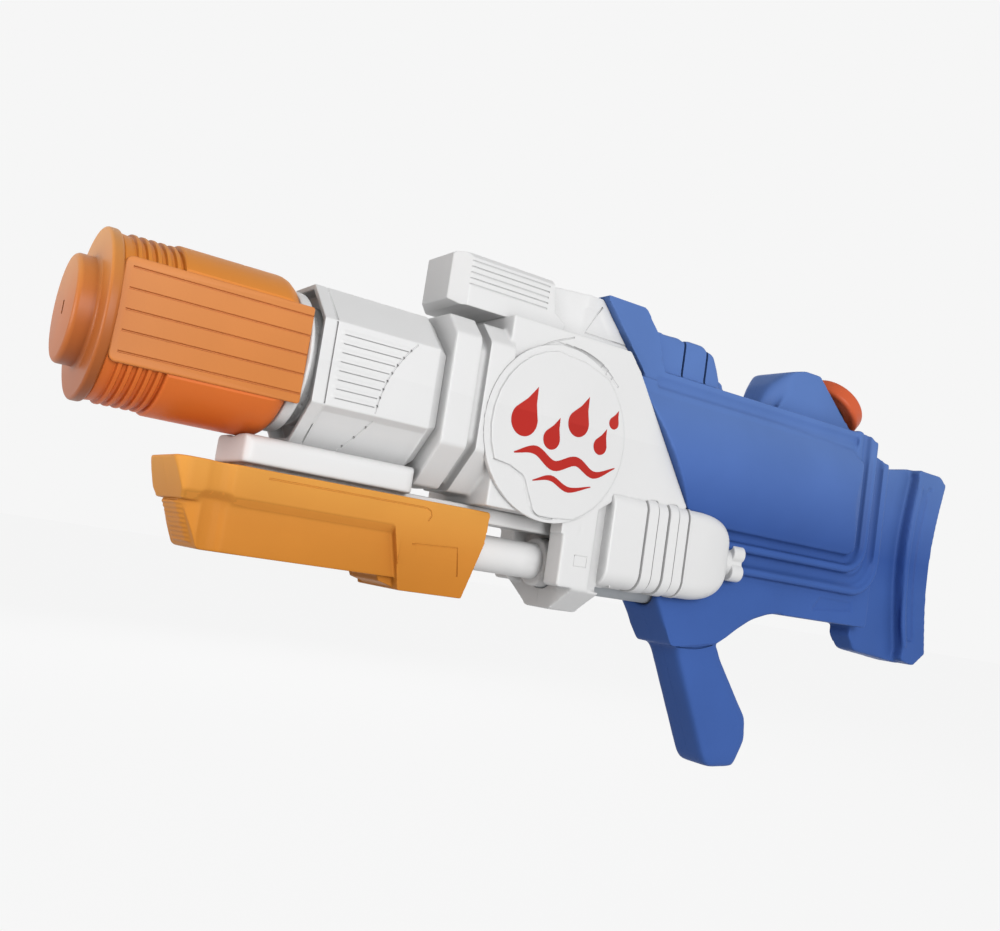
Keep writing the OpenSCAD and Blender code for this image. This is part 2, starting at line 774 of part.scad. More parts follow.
module pod_plug(hand) {
    x0 = plug_x;
    color(WHITE) mirror([0, hand > 0 ? 1 : 0, 0]) {
        rod(plug_lobe_off + 1, x0, x0 + plug_knob_l - 3, plug_z, -plug_y);
        for (a = [45:90:315])
            translate([0, plug_lobe_off * cos(a), plug_lobe_off * sin(a)])
                rod(plug_lobe_r, x0, x0 + plug_knob_l, plug_z, -plug_y);
    }
}

// Rear shell

wedge_outline = [[split_top_x, fairing_top], [split_top_x, wedge_top], [split_top_x + 31, wedge_top, 2],
    [split_top_x + 44, hump_top - 3, 2], [split_top_x + 55, deck_z - 5], split_knee + [2, -6], split_knee];

deck_outline = [split_knee, split_knee + [0, deck_z - split_knee[1]], [rim_end - 4, deck_z],
    [rim_end - 4, 20], [split_knee[0] + 24, 20]];

rim_outline = [white_knee, split_low, [split_low_x - 1, -tank_bottom - 8], [rim_end, -tank_bottom - 8, 20],
    [rim_end, deck_z - 3, 4], [rim_end - 7, deck_z + 1, 3], [rim_end - 20, deck_z + 1],
    [rim_end - 20, tank_top]];

rim2_outline = [split_low + [2, 0], split_foot + [3.5, 24], [rim2_end, -tank_bottom - 23, 24],
    [rim2_end, deck_z - 19, 4], [rim2_end - 8, deck_z - 12, 4], [rim_end - 10, deck_z - 10],
    [rim_end - 40, 0]];

lower_outline = [split_low + [2, -20], split_foot, [split_foot[0] + 22, -base_bottom, 3],
    [split_foot[0] + 63, -base_bottom + 6], [split_foot[0] + 92, -lower_bottom - 7, 30],
    [split_foot[0] + 110, -lower_bottom, 30], [rim2_end + 2, -lower_bottom, 3],
    [rim2_end + 2, -50], [rim_end, 0]];

grip_x = split_foot[0] + 29;

grip_outline = [[grip_x - 2, -base_bottom + 12], [grip_x, -base_bottom], [grip_x + 38, -grip_bottom + 6, 4],
    [grip_x + 43, -grip_bottom, 4], [grip_x + 68, -grip_bottom + 1, 3], [grip_x + 76, -grip_bottom + 20, 5],
    [grip_x + 74, -grip_bottom + 36, 6], [grip_x + 37, -base_bottom + 4], [grip_x + 30, -base_bottom + 16]];

web_outline = [[rim_end, 20], [rim2_end + 16, butt_top - 6, 2], [butt_end - 38, butt_top, 4],
    [butt_end - 20, butt_top], [butt_end - 20, 10 - butt_bottom], [butt_end - 24, -butt_bottom, 2],
    [rim2_end + 8, 5 - butt_bottom, 8], [rim2_end - 1, 16 - butt_bottom, 6],
    [rim2_end - 1, 4 - lower_bottom]];

// Edge of the butt plate, hollowed for a shoulder, at t from 0 (top) to 1 (bottom)
function butt_edge(t, x, lean) =
    [x - 9 * sin(180 * t) - lean * t, butt_top - 7 - (butt_bottom + butt_top - 17) * t];

plate_outline = concat([[butt_end - 38, butt_top, 3], [butt_end - 8, butt_top - 1, 5]],
    [for (i = [0:8]) butt_edge(i / 8, butt_end, 5)],
    [[butt_end - 18, -butt_bottom, 5], [butt_end - 36, 3 - butt_bottom, 4]],
    [for (i = [8:-1:0]) butt_edge(i / 8, butt_end - 35, -2)]);

// Shallow channel down the side of the butt plate
channel_d = 2;
channel_outline = concat([for (i = [0:8]) butt_edge(0.06 + 0.88 * i / 8, butt_end - 19, 1)],
    [for (i = [8:-1:0]) butt_edge(0.06 + 0.88 * i / 8, butt_end - 29, -2)]);

// Tank bulge, d smaller all round, between two large cylinders
module tank_form(d) {
    front = d > 0 ? plug_x + 2 + d : split_low_x - 60;
    rear = rim_end - 10 - d;
    mid_z = (tank_top - tank_bottom) / 2;
    r = tank_side_r - d;
    off = tank_side_r - tank_w / 2;
    w = tank_w / 2 - d;
    intersection() {
        slab([[front, tank_top - d], [front, -tank_bottom + d], [rear, -tank_bottom + d, 16],
            [rear, tank_top - d, 24]], 2 * tank_w);
        rod(r, front - 1, rear + 1, mid_z, off, $fn = 128);
        rod(r, front - 1, rear + 1, mid_z, -off, $fn = 128);
        plan([[front - 1, -w], [rear, -w, 22], [rear, w, 22], [front - 1, w]], -FAR, FAR);
    }
}

// Three knuckles, each a little lower than the one before, and a small step behind them
module humps() {
    x0 = split_top_x + 43;
    foot = deck_z - 4;
    slab([[x0, foot], [x0, hump_top - 1, 3], [x0 + 28, hump_top, 7], [x0 + 28, foot]], hump_w);
    slab([[x0 + 24, foot], [x0 + 24, hump_top - 4], [x0 + 28, hump_top, 5], [x0 + 48.5, hump_top, 6],
        [x0 + 48.5, foot]], hump_w);
    slab([[x0 + 46, foot], [x0 + 46, hump_top - 3, 3], [x0 + 54, hump_top - 3, 6],
        [x0 + 61, hump_top - 17, 4], [x0 + 61, foot]], hump_w);
    slab([[x0 + 58, foot], [x0 + 58, deck_z + 6], [x0 + 66, deck_z + 6, 3], [x0 + 69, foot]], hump_w - 4);
}

// Upright grooves between the knuckles
module hump_grooves() {
    depth = 1.5;
    for (x = [70, 90], s = [LEFT, RIGHT])
        translate([split_top_x + x, s * hump_w / 2, 0])
            block([-1, -depth, deck_z + 1], [1, depth, hump_top + 5]);
}

// Filler hump, cut square to the filler's axis at the rear, and the ears of the cap's hinge
module filler_hump() {
    x0 = filler_mid[0] - 81;
    w = filler_w / 2;
    nose = 8;
    difference() {
        intersection() {
            slab([[x0, deck_z - 3], [x0 + 8, deck_z + 18, 8], [x0 + 20, filler_top - 4, 8],
                [x0 + 36, filler_top, 6], [filler_mid[0] + 60, filler_top],
                [filler_mid[0] + 24, deck_z - 3]], filler_w);
            plan([[x0, -nose], [x0 + 22, -w], [FAR, -w], [FAR, w], [x0 + 22, w], [x0, nose]], 0, FAR);
        }
        at_filler() translate([-100, -100, 0]) cube(200);
    }
    at_filler() for (s = [LEFT, RIGHT])
        translate([0, s * (hinge_half_w + pass_gap + ear_t / 2), 0]) hinge_ear();
}

// Ear in the filler's frame
module hinge_ear() {
    translate([0, ear_t / 2, 0]) rotate([90, 0, 0]) linear_extrude(ear_t)
        polygon(outline([hinge_at + [-4, -13], concat(hinge_at + [-4, 3.5], 3),
            concat(hinge_at + [3.5, 3.5], 3), hinge_at + [3.5, -13]]));
}

module rear_shell_solid() {
    slab(wedge_outline, deck_w);
    slab(deck_outline, deck_w);
    humps();
    filler_hump();
    slab(rim_outline, rim_w);
    slab(rim2_outline, rim2_w);
    slab(lower_outline, lower_w);
    slab(grip_outline, grip_w);
    slab(web_outline, butt_web_w);
    slab(plate_outline, butt_w);
    difference() {
        tank_form(0);
        slab([[0, -FAR], [0, FAR], white_knee + [-40, FAR], white_knee, split_low, split_low - [0, FAR]],
            FAR);
    }
}

// Room inside the blue shell for the tank, the pump, the hoses and the pods
module rear_shell_room() {
    tank_form(tank_wall / 2);
    at_filler() {
        translate([0, 0, 1 - neck_l]) cylinder(r = neck_r + pass_gap, h = neck_l + 10);
        translate([0, 0, cap_lift - 1]) cylinder(r = cap_r + 2 * pass_gap, h = 2 * cap_t);
        translate([hinge_at[0], 0, hinge_at[1]]) rotate([90, 0, 0])
            cylinder(r = hinge_pin_r + running_gap / 2, h = 60, center = true);
    }
    rod(cylinder_r + seat_gap, split_low_x - 40, cylinder_end + 26 + seat_gap, pump_z);
    block([split_low_x - 40, -duct_r, pump_z], [cylinder_end + 16, duct_r, -tank_bottom]);
    block([cylinder_end + 20, -duct_r, pump_z - 7], [sump_x + 24, duct_r, -tank_bottom]);
    block([sump_x - 1, -duct_r, -tank_bottom - 1], [sump_x + 21, duct_r, tank_wall - tank_bottom]);
    for (hand = [LEFT, RIGHT])
        mirror([0, hand > 0 ? 1 : 0, 0]) {
            pod_form(seat_gap);
            rod(plug_lobe_off + plug_lobe_r + 2, plug_x - 2, plug_x + plug_knob_l + 3, plug_z, -plug_y);
        }
    slab([[grip_x + 8, -base_bottom - 4], [grip_x + 42, -grip_bottom + 7], [grip_x + 66, -grip_bottom + 7],
        [grip_x + 70, -grip_bottom + 32], [grip_x + 33, -base_bottom - 4]], grip_w - 6);
    slab([[rim2_end + 8, butt_top - 14], [butt_end - 42, butt_top - 10], [butt_end - 42, -butt_bottom + 16],
        [rim2_end + 8, -butt_bottom + 16]], butt_web_w - 6);
}

sump_x = cylinder_end + 80;

rear_screws = [[split_top_x + 28, wedge_top - 18, deck_w / 2], [butt_end - 24, butt_top - 14, butt_w / 2],
    [butt_end - 26, -butt_bottom + 12, butt_w / 2], [rim2_end - 8, -tank_bottom - 33, lower_w / 2],
    [grip_x + 16, -base_bottom + 9, lower_w / 2], [grip_x + 56, -grip_bottom + 14, grip_w / 2]];

module rear_shell(hand) {
    color(BLUE) half(hand) difference() {
        union() {
            difference() {
                rear_shell_solid();
                rear_shell_room();
                hump_grooves();
                for (s = [LEFT, RIGHT])
                    side(channel_outline, s < 0 ? -FAR : butt_w / 2 - channel_d,
                        s < 0 ? channel_d - butt_w / 2 : FAR);
            }
            for (s = rear_screws)
                cross(screw_head_r + 2, s[0], s[1], 1 - s[2], s[2] - 1);
        }
        screws(rear_screws, pass_gap / 2);
    }
}

module body_screws() {
    color(GREY) screws(concat(front_screws, rear_screws), 0);
}

// Water tank with its neck and its sump

module water_tank() {
    d = tank_wall / 2 + seat_gap;
    z = duct_z + 3;
    color("#dfe6ee") difference() {
        union() {
            tank_form(d);
            at_filler() translate([0, 0, -neck_l]) cylinder(r = neck_r, h = neck_l + cap_lift - gasket_t);
            block([sump_x, -7, z - 8], [sump_x + 20, 7, 6 - tank_bottom]);
            rod(barb_r, sump_x - barb_l, sump_x + 1, z);
        }
        tank_form(tank_wall);
        at_filler() translate([0, 0, -neck_l - 6]) cylinder(r = neck_bore_r, h = neck_l + 10);
        block([sump_x + 3, -4, z - 5], [sump_x + 17, 4, 9 - tank_bottom]);
        rod(barb_bore_r, sump_x - barb_l - 1, sump_x + 4, z);
    }
}

// Filler cap with its plug and hinge lug

module filler_cap() {
    lug = hinge_half_w;
    color(RED) at_filler() difference() {
        union() {
            translate([0, 0, cap_lift]) rotate_extrude()
                polygon(outline([[0, -plug_l], [plug_r, -plug_l, 1], [plug_r, 0], [cap_r, 0, 3],
                    [cap_r, cap_t, 3.5], [0, cap_t]]));
            translate([0, lug, 0]) rotate([90, 0, 0]) linear_extrude(2 * lug)
                polygon(outline([concat(hinge_at + [-3, -2.6], 2), concat(hinge_at + [-3, 3], 2),
                    [4 - cap_r, cap_lift + 5], [4 - cap_r, cap_lift]]));
        }
        translate([hinge_at[0], 0, hinge_at[1]]) rotate([90, 0, 0])
            cylinder(r = hinge_pin_r + running_gap, h = 3 * lug, center = true);
    }
}

module cap_gasket() {
    h = gasket_t - seat_gap / 2;
    color(DARK) at_filler() translate([0, 0, cap_lift - h]) difference() {
        cylinder(r = neck_r, h = h);
        translate([0, 0, -1]) cylinder(r = plug_r, h = h + 2);
    }
}

module cap_hinge_pin() {
    w = 2 * (hinge_half_w + pass_gap + ear_t);
    color(GREY) at_filler() translate([hinge_at[0], 0, hinge_at[1]]) rotate([90, 0, 0])
        cylinder(r = hinge_pin_r, h = w, center = true);
}

// Pump

module pump_cylinder() {
    color(GREY) turned([[cylinder_bore_r, cylinder_x], [cylinder_r, cylinder_x], [cylinder_r, cylinder_end],
        [cylinder_bore_r, cylinder_end]], pump_z);
}

seal_r = 1.2;
rod_seal_mid = tube_r + running_gap + seal_r;
rod_seal_x = gland_x + gland_l / 2;

module pump_gland() {
    bore = tube_r + running_gap;
    seat = rod_seal_mid + seal_r + 0.1;
    tail_r = cylinder_bore_r - seat_gap / 2;
    tail_end = cylinder_x + spigot_l;
    g = seal_r + 0.1;
    color(WHITE) turned([[bore, gland_x], [gland_r, gland_x, 1], [gland_r, cylinder_x], [tail_r, cylinder_x],
        [tail_r, tail_end], [bore, tail_end], [bore, rod_seal_x + g], [seat, rod_seal_x + g],
        [seat, rod_seal_x - g], [bore, rod_seal_x - g]], pump_z);
}

module ring_seal(mid, x) {
    translate([x, 0, pump_z]) rotate([0, 90, 0])
        rotate_extrude() translate([mid, 0]) circle(seal_r, $fn = 24);
}

module rod_seal() {
    color(DARK) ring_seal(rod_seal_mid, rod_seal_x);
}

module pump_tube() {
    bore = tube_r - tube_wall;
    color(WHITE) turned([[0, tube_x], [tube_r, tube_x, 1], [tube_r, piston_rest], [bore, piston_rest],
        [bore, tube_x + 4], [0, tube_x + 4]], pump_z);
}

piston_r = cylinder_bore_r - running_gap;
piston_seal_mid = piston_r - seal_r;

module piston() {
    stud_r = tube_r - tube_wall - seat_gap / 2;
    floor_r = piston_seal_mid - seal_r - 0.1;
    x1 = piston_rest + piston_l;
    x = piston_rest + piston_l / 2;
    stud_x = piston_rest - 12;
    g = seal_r + 0.1;
    color(GREY) turned([[0, stud_x], [stud_r, stud_x], [stud_r, piston_rest], [piston_r, piston_rest],
        [piston_r, x - g], [floor_r, x - g], [floor_r, x + g], [piston_r, x + g], [piston_r, x1, 0.6],
        [0, x1]], pump_z);
}

module piston_seal() {
    color(DARK) ring_seal(piston_seal_mid, piston_rest + piston_l / 2);
}

// Valves: a block that closes the cylinder, with two balls on their seats

ball_seat = sqrt(ball_r * ball_r - barb_bore_r * barb_bore_r) + 0.1;
block_end = cylinder_end + 26;
inlet_seat_x = block_end - 9;
inlet_ball_x = inlet_seat_x - ball_seat;
outlet_seat_x = cylinder_end + 5;
outlet_ball_x = outlet_seat_x - ball_seat;
chamber_r = ball_r + 1.4;

module valve_block() {
    riser_x = outlet_seat_x - 13;
    body_r = cylinder_r - 2.5;
    top = duct_z + 8;
    color(GREY) difference() {
        union() {
            rod(cylinder_bore_r - seat_gap / 2, cylinder_end - spigot_l, cylinder_end + 1, pump_z);
            rod(body_r, cylinder_end, block_end, pump_z);
            rod(barb_r, block_end - 1, block_end + barb_l, pump_z);
            block([cylinder_end + 0.2, -8, pump_z], [cylinder_end + 15, 8, top]);
            block([riser_x, -8, pump_z + cylinder_r + 0.6], [cylinder_end + 1, 8, top]);
            rod(barb_r, riser_x - barb_l, riser_x + 1, duct_z);
        }
        rod(ball_r - 0.7, cylinder_end - spigot_l - 1, inlet_seat_x - 5, pump_z);
        rod(chamber_r, inlet_ball_x - ball_r - ball_lift - 0.4, inlet_seat_x, pump_z);
        rod(barb_bore_r, inlet_seat_x - 1, block_end + barb_l + 1, pump_z);
        translate([outlet_seat_x + 5, 0, pump_z]) cylinder(r = barb_bore_r, h = duct_z - pump_z);
        rod(barb_bore_r, outlet_seat_x - 1, outlet_seat_x + 5, duct_z);
        rod(chamber_r, outlet_ball_x - ball_r - ball_lift - 0.4, outlet_seat_x, duct_z);
        rod(barb_bore_r, riser_x - barb_l - 1, riser_x + 6, duct_z);
    }
}

module inlet_ball() {
    color(GREY) translate([inlet_ball_x, 0, pump_z]) sphere(ball_r);
}

module outlet_ball() {
    color(GREY) translate([outlet_ball_x, 0, duct_z]) sphere(ball_r);
}

module delivery_hose() {
    x0 = tip_end + 1;
    x1 = outlet_seat_x - 13.5;
    high_x = body_x + 2;
    low_x = split_low_x - 20;
    color("#d8d4c8") hose(ease_path(high_x, low_x, 0, duct_z, high_x - x0, x1 - low_x, 24));
}

module suction_hose() {
    x0 = block_end + 0.5;
    x1 = sump_x - 0.5;
    color("#d8d4c8") hose(ease_path(x0 + barb_l, x1 - barb_l, pump_z, duct_z + 3, barb_l, barb_l, 10));
}

// Foregrip: rim, lower body with a ribbed nose, and rear block

rim_z = pump_z + rim_rise;
rim_low = rim_z - rim_h;
foregrip_low = pump_z - foregrip_drop;
rear_low = pump_z - rear_block_drop;
rear_x = foregrip_end - rear_block_l;
foregrip_screw_list = [[foregrip_x + 36, foregrip_low + 6, foregrip_low_w / 2],
    [foregrip_end - 30, rear_low + 9, foregrip_w / 2]];

module foregrip_solid() {
    nose_x = foregrip_x + 8;
    nose_lean = 11;
    end_z = rim_low + 3;
    bevel = 5;
    nose_r = 12;
    w = foregrip_w / 2;
    low_w = foregrip_low_w / 2;
    intersection() {
        slab([[foregrip_x, rim_z, 1], [foregrip_end, rim_z, 1], [foregrip_end - 1, end_z], [rear_x, rim_low],
            [foregrip_x + 7, rim_low, 1]], foregrip_w);
        plan([[foregrip_x, -w, 9], [FAR, -w], [FAR, w], [foregrip_x, w, 9]], -FAR, 0);
        bar([[-w, rim_z], [-w, rim_low + bevel], [-low_w, rim_low], [low_w, rim_low], [w, rim_low + bevel],
            [w, rim_z]], 0, FAR);
    }
    intersection() {
        slab([[nose_x, rim_low + 1], [nose_x + nose_lean, foregrip_low, 3], [rear_x + 12, foregrip_low],
            [rear_x + 12, rim_low + 1]], foregrip_low_w);
        plan([[nose_x, -low_w, nose_r], [FAR, -low_w], [FAR, low_w], [nose_x, low_w, nose_r]], -FAR, 0);
    }
    slab([[rear_x - 10, rim_low + bevel + 1], [rear_x - 1, rear_low, 1], [foregrip_end - 10, rear_low, 1],
        [foregrip_end - 1, end_z], [foregrip_end - 2, rim_low + bevel + 1]], foregrip_w);
    slab([[rear_x - 12, foregrip_low + 1], [rear_x - 10, foregrip_low - 3, 1], [rear_x + 4, rear_low, 1],
        [rear_x + 4, foregrip_low + 1]], foregrip_low_w - 8);
    step = (rim_low - foregrip_low - 3) / nose_rib_count;
    for (i = [0:nose_rib_count - 1]) {
        z = rim_low - 1 - step * i;
        x = nose_x + nose_lean * (rim_low - z) / (rim_low - foregrip_low);
        rib_w = low_w - 0.5;
        plan([[x - 1.4, -rib_w, nose_r], [x + 20, -rib_w], [x + 20, rib_w], [x - 1.4, rib_w, nose_r]],
            z - step * 0.6, z);
    }
}

// Channel for the slide rail, and three rooms between the webs that hold the tube
module foregrip_room() {
    wall = 3;
    floor_z = rail_bar_bottom - 3;
    rim_room = foregrip_w / 2 - wall;
    low_room = foregrip_low_w / 2 - wall;
    mid_x = (foregrip_x + rear_x) / 2;
    block([foregrip_x + 9, -rim_room, floor_z], [foregrip_end + 1, rim_room, rim_z + 1]);
    for (x = [[tube_x + 12, mid_x - 4], [mid_x + 4, rear_x - 4]])
        block([x[0], -low_room, foregrip_low + wall], [x[1], low_room, floor_z + 1]);
    block([rear_x + 8, -low_room, rear_low + wall], [foregrip_end - 16, low_room, floor_z + 1]);
}

// Recessed panel on the side of the rear block
foregrip_panel = [[rear_x + 4, rim_low - 3], [foregrip_end - 18, rim_low - 2],
    [foregrip_end - 14, rear_low + 8], [rear_x + 8, rear_low + 7]];

module foregrip(hand) {
    face = foregrip_w / 2;
    color(AMBER) half(hand) difference() {
        union() {
            difference() {
                foregrip_solid();
                foregrip_room();
            }
            for (s = foregrip_screw_list)
                cross(screw_head_r + 2, s[0], s[1], 1 - s[2], s[2] - 1);
        }
        rod(tube_r + running_gap, tube_x - seat_gap, foregrip_end + 1, pump_z);
        for (s = [LEFT, RIGHT])
            side(foregrip_panel, s < 0 ? -FAR : face - groove_d, s < 0 ? groove_d - face : FAR);
        screws(foregrip_screw_list, pass_gap / 2);
    }
}

module foregrip_screws() {
    color(GREY) screws(foregrip_screw_list, 0);
}

nozzle_cap();
nozzle_tip();
barrel_sleeve(LEFT);  // barrel_sleeve_left
barrel_sleeve(RIGHT);  // barrel_sleeve_right
barrel_panel(LEFT);  // barrel_panel_left
barrel_panel(RIGHT);  // barrel_panel_right
barrel_collar();
shroud(LEFT);  // shroud_left
shroud(RIGHT);  // shroud_right
front_shell(LEFT);  // front_shell_left
front_shell(RIGHT);  // front_shell_right
top_block();
medallion(LEFT);  // medallion_left
medallion(RIGHT);  // medallion_right
slide_rail();
pod(LEFT);  // pod_left
pod(RIGHT);  // pod_right
pod_plug(LEFT);  // pod_plug_left
pod_plug(RIGHT);  // pod_plug_right
rear_shell(LEFT);  // rear_shell_left
rear_shell(RIGHT);  // rear_shell_right
water_tank();
filler_cap();
cap_gasket();
cap_hinge_pin();
pump_cylinder();
pump_gland();
rod_seal();
pump_tube();
piston();
piston_seal();
foregrip(LEFT);  // foregrip_left
foregrip(RIGHT);  // foregrip_right
foregrip_screws();
valve_block();
inlet_ball();
outlet_ball();
delivery_hose();
suction_hose();
body_screws();
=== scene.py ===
# %% [markdown]
# # A large pump-action water squirter
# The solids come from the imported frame, in metres, with the nozzle mouth at the origin, X towards the butt,
# Y to the far side and Z up. This lesson gives each visible solid the soft edges of a moulded shell, adds
# the fine lines that a mould leaves, and dresses every piece in the plastic that it is made of.

# %% Load the solids
import json
import math
import bpy
import bmesh
from mathutils import Matrix, Vector


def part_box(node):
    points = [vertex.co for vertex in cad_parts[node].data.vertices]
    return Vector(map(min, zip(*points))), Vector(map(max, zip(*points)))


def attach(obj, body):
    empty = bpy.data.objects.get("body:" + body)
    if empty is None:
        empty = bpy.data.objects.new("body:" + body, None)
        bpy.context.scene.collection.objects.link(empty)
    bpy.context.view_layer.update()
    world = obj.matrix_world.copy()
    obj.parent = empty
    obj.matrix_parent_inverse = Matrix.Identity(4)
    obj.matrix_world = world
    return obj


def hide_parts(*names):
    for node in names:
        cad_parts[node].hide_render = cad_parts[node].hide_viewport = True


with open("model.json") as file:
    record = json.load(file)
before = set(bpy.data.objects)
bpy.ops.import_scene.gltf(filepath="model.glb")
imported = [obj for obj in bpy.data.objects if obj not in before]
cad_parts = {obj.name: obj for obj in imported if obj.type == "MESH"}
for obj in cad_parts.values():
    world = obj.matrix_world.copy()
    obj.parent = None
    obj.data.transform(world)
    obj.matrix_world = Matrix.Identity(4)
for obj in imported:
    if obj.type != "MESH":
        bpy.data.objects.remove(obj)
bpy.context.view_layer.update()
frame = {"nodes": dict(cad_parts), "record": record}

MM = 0.001
scene = bpy.context.scene
nodes = frame["nodes"]


# %% Places read from the frame, in millimetres
def span(name):
    """Lowest and highest corner of a solid."""
    low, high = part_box(name)
    return Vector(low) / MM, Vector(high) / MM


def ends(name, axis="X"):
    """Where a solid starts and ends along an axis."""
    low, high = span(name)
    i = "XYZ".index(axis)
    return low[i], high[i]


sleeve_x, sleeve_end = ends("barrel_sleeve_left")
shroud_x, shroud_end = ends("shroud_left")
pod_x, plug_x = ends("pod_left")
tube_x, tube_end = ends("pump_tube")
pump_z = sum(ends("pump_tube", "Z")) / 2
barrel_r = ends("barrel_sleeve_left", "Z")[1]
print("barrel from", sleeve_x, "to", sleeve_end, "- pump axis at", round(pump_z, 2))

# %% [markdown]
# ## Camera
# The photograph looks at the left side from in front and a little below, close enough for strong
# perspective. The place and the lens were fitted to points on the barrel, the butt and the grip. Two
# vectors, forward and nearly up, give the turn, so no angle has to be guessed.

# %% Camera at the photograph's place
camera_at = Vector((-87.1, -534.4, -95.0))
lens_mm, sensor_mm = 37.98, 36.0
forward = Vector((0.541, 0.835, 0.103)).normalized()
nearly_up = Vector((-0.182, -0.004, 0.983))
side = forward.cross(nearly_up).normalized()
upward = side.cross(forward)
camera = bpy.data.objects.new("camera", bpy.data.cameras.new("camera"))
camera.data.sensor_width = sensor_mm
camera.data.lens = lens_mm
camera.data.clip_start = 0.01
facing = Matrix((side, upward, -forward)).transposed().to_4x4()
camera.matrix_world = Matrix.Translation(camera_at * MM) @ facing
scene.collection.objects.link(camera)
scene.camera = camera
print("camera at", [round(v, 3) for v in camera.location])

# %% [markdown]
# ## A small workshop for outlines and solids
# The shells are drawn as the mould maker draws them: an outline with rounded corners, pushed through a
# width, or a profile turned about an axis. All sizes here are in millimetres and are scaled once, when a
# mesh is made.


# %% Outlines with rounded corners
def arc_corner(a, b, c, r, steps=6):
    """Points that round the corner at b, between a and c."""
    u, v = (a - b).normalized(), (c - b).normalized()
    half = math.acos(max(-1.0, min(1.0, u.dot(v)))) / 2
    mid = b + (u + v).normalized() * r / math.sin(half)
    start = b + u * r / math.tan(half) - mid
    stop = b + v * r / math.tan(half) - mid
    return [mid + r * (start * (steps - i) + stop * i).normalized() for i in range(steps + 1)]


def outline(points, steps=6):
    """Outline from points (a, b) or (a, b, radius)."""
    flat = [Vector(p[:2]) for p in points]
    count = len(flat)
    made = []
    for i, p in enumerate(points):
        if len(p) < 3:
            made.append(flat[i])
        else:
            made += arc_corner(flat[i - 1], flat[i], flat[(i + 1) % count], p[2], steps)
    return made


def arc(mid, r, start, stop, step=6):
    """Points of an arc about mid, in degrees."""
    count = max(1, round(abs(stop - start) / step))
    turn = [math.radians(start + (stop - start) * i / count) for i in range(count + 1)]
    return [(mid[0] + r * math.cos(t), mid[1] + r * math.sin(t)) for t in turn]


def curve(points, steps=8):
    """Smooth open line that passes through every point."""
    p = [Vector(q) for q in points]
    p = [2 * p[0] - p[1]] + p + [2 * p[-1] - p[-2]]
    made = []
    for i in range(1, len(p) - 2):
        for k in range(steps):
            t = k / steps
            made.append(0.5 * (2 * p[i] + (p[i + 1] - p[i - 1]) * t
                               + (2 * p[i - 1] - 5 * p[i] + 4 * p[i + 1] - p[i + 2]) * t * t
                               + (3 * p[i] - p[i - 1] - 3 * p[i + 1] + p[i + 2]) * t ** 3))
    return made + [p[-2]]


# %% Solids from outlines
AXES = {"X": lambda a, b, h: (h, a, b), "Y": lambda a, b, h: (a, h, b), "Z": lambda a, b, h: (a, b, h)}


def solid(name, bm):
    """Mesh object from a bmesh in millimetres, with its faces turned outwards."""
    bmesh.ops.recalc_face_normals(bm, faces=bm.faces)
    bmesh.ops.scale(bm, vec=(MM, MM, MM), verts=bm.verts)
    mesh = bpy.data.meshes.new(name)
    bm.to_mesh(mesh)
    bm.free()
    made = bpy.data.objects.new(name, mesh)
    scene.collection.objects.link(made)
    return made


def skinned(name, loops, closed=False):
    """Solid through loops of points with equal counts; a loop of one point is a tip."""
    bm = bmesh.new()
    rings = [[bm.verts.new(p) for p in loop] for loop in loops]
    count = max(len(ring) for ring in rings)
    pairs = list(zip(rings, rings[1:])) + ([(rings[-1], rings[0])] if closed else [])
    for a, b in pairs:
        for k in range(count):
            m = (k + 1) % count
            corners = [a[k % len(a)], a[m % len(a)], b[m % len(b)], b[k % len(b)]]
            face = list(dict.fromkeys(corners))
            if len(face) > 2:
                bm.faces.new(face)
    if not closed:
        for ring in (rings[0], rings[-1]):
            if len(ring) > 2:
                bm.faces.new(ring)
    return solid(name, bm)


def prism(name, points, low, high, axis="Y", edge=0.0, steps=3):
    """Outline pushed along an axis between two levels, with its rims rounded by edge.

    A level is a number, or a function of the point where it leans."""
    bm = bmesh.new()
    place = AXES[axis]
    loops = []
    for h in (low, high):
        loops.append([bm.verts.new(place(p[0], p[1], h(p) if callable(h) else h)) for p in outline(points)])
    count = len(loops[0])
    bm.faces.new(loops[0])
    bm.faces.new(loops[1][::-1])
    for i in range(count):
        j = (i + 1) % count
        bm.faces.new((loops[0][i], loops[0][j], loops[1][j], loops[1][i]))
    bmesh.ops.recalc_face_normals(bm, faces=bm.faces)
    if edge:
        sharp = [e for e in bm.edges if e.calc_face_angle(0) > 0.6]
        bmesh.ops.bevel(bm, geom=sharp, offset=edge, segments=steps, profile=0.5, affect="EDGES",
                        clamp_overlap=True)
    return solid(name, bm)


def turned(name, points, z=0.0, y=0.0, steps=144, closed=False, corner_steps=6):
    """Profile of (x, radius) points turned about an axis along X."""
    loops = []
    for x, r in outline(points, corner_steps):
        turn = [2 * math.pi * k / steps for k in range(steps)] if r > 1e-4 else [0.0]
        loops.append([(x, y + r * math.cos(t), z + r * math.sin(t)) for t in turn])
    return skinned(name, loops, closed)


def block(low, high, edge=0.0):
    """Box between two corners."""
    return prism("block", [(low[0], low[2]), (high[0], low[2]), (high[0], high[2]), (low[0], high[2])],
                 low[1], high[1], "Y", edge)


def bead(path, y, r, sides=12):
    """Round cord along a line of (x, z) points at depth y, a number or a function of the point.

    Joined to a face it is a raised line, carved from a face it is a groove."""
    line = [Vector((p[0], y(p) if callable(y) else y, p[1])) for p in path]
    loops = []
    for i, p in enumerate(line):
        along = (line[min(i + 1, len(line) - 1)] - line[max(i - 1, 0)]).normalized()
        across = along.cross(Vector((0, 1, 0))).normalized()
        out = across.cross(along)
        turn = [2 * math.pi * k / sides for k in range(sides)]
        loops.append([p + r * (across * math.cos(t) + out * math.sin(t)) for t in turn])
    return skinned("bead", loops)


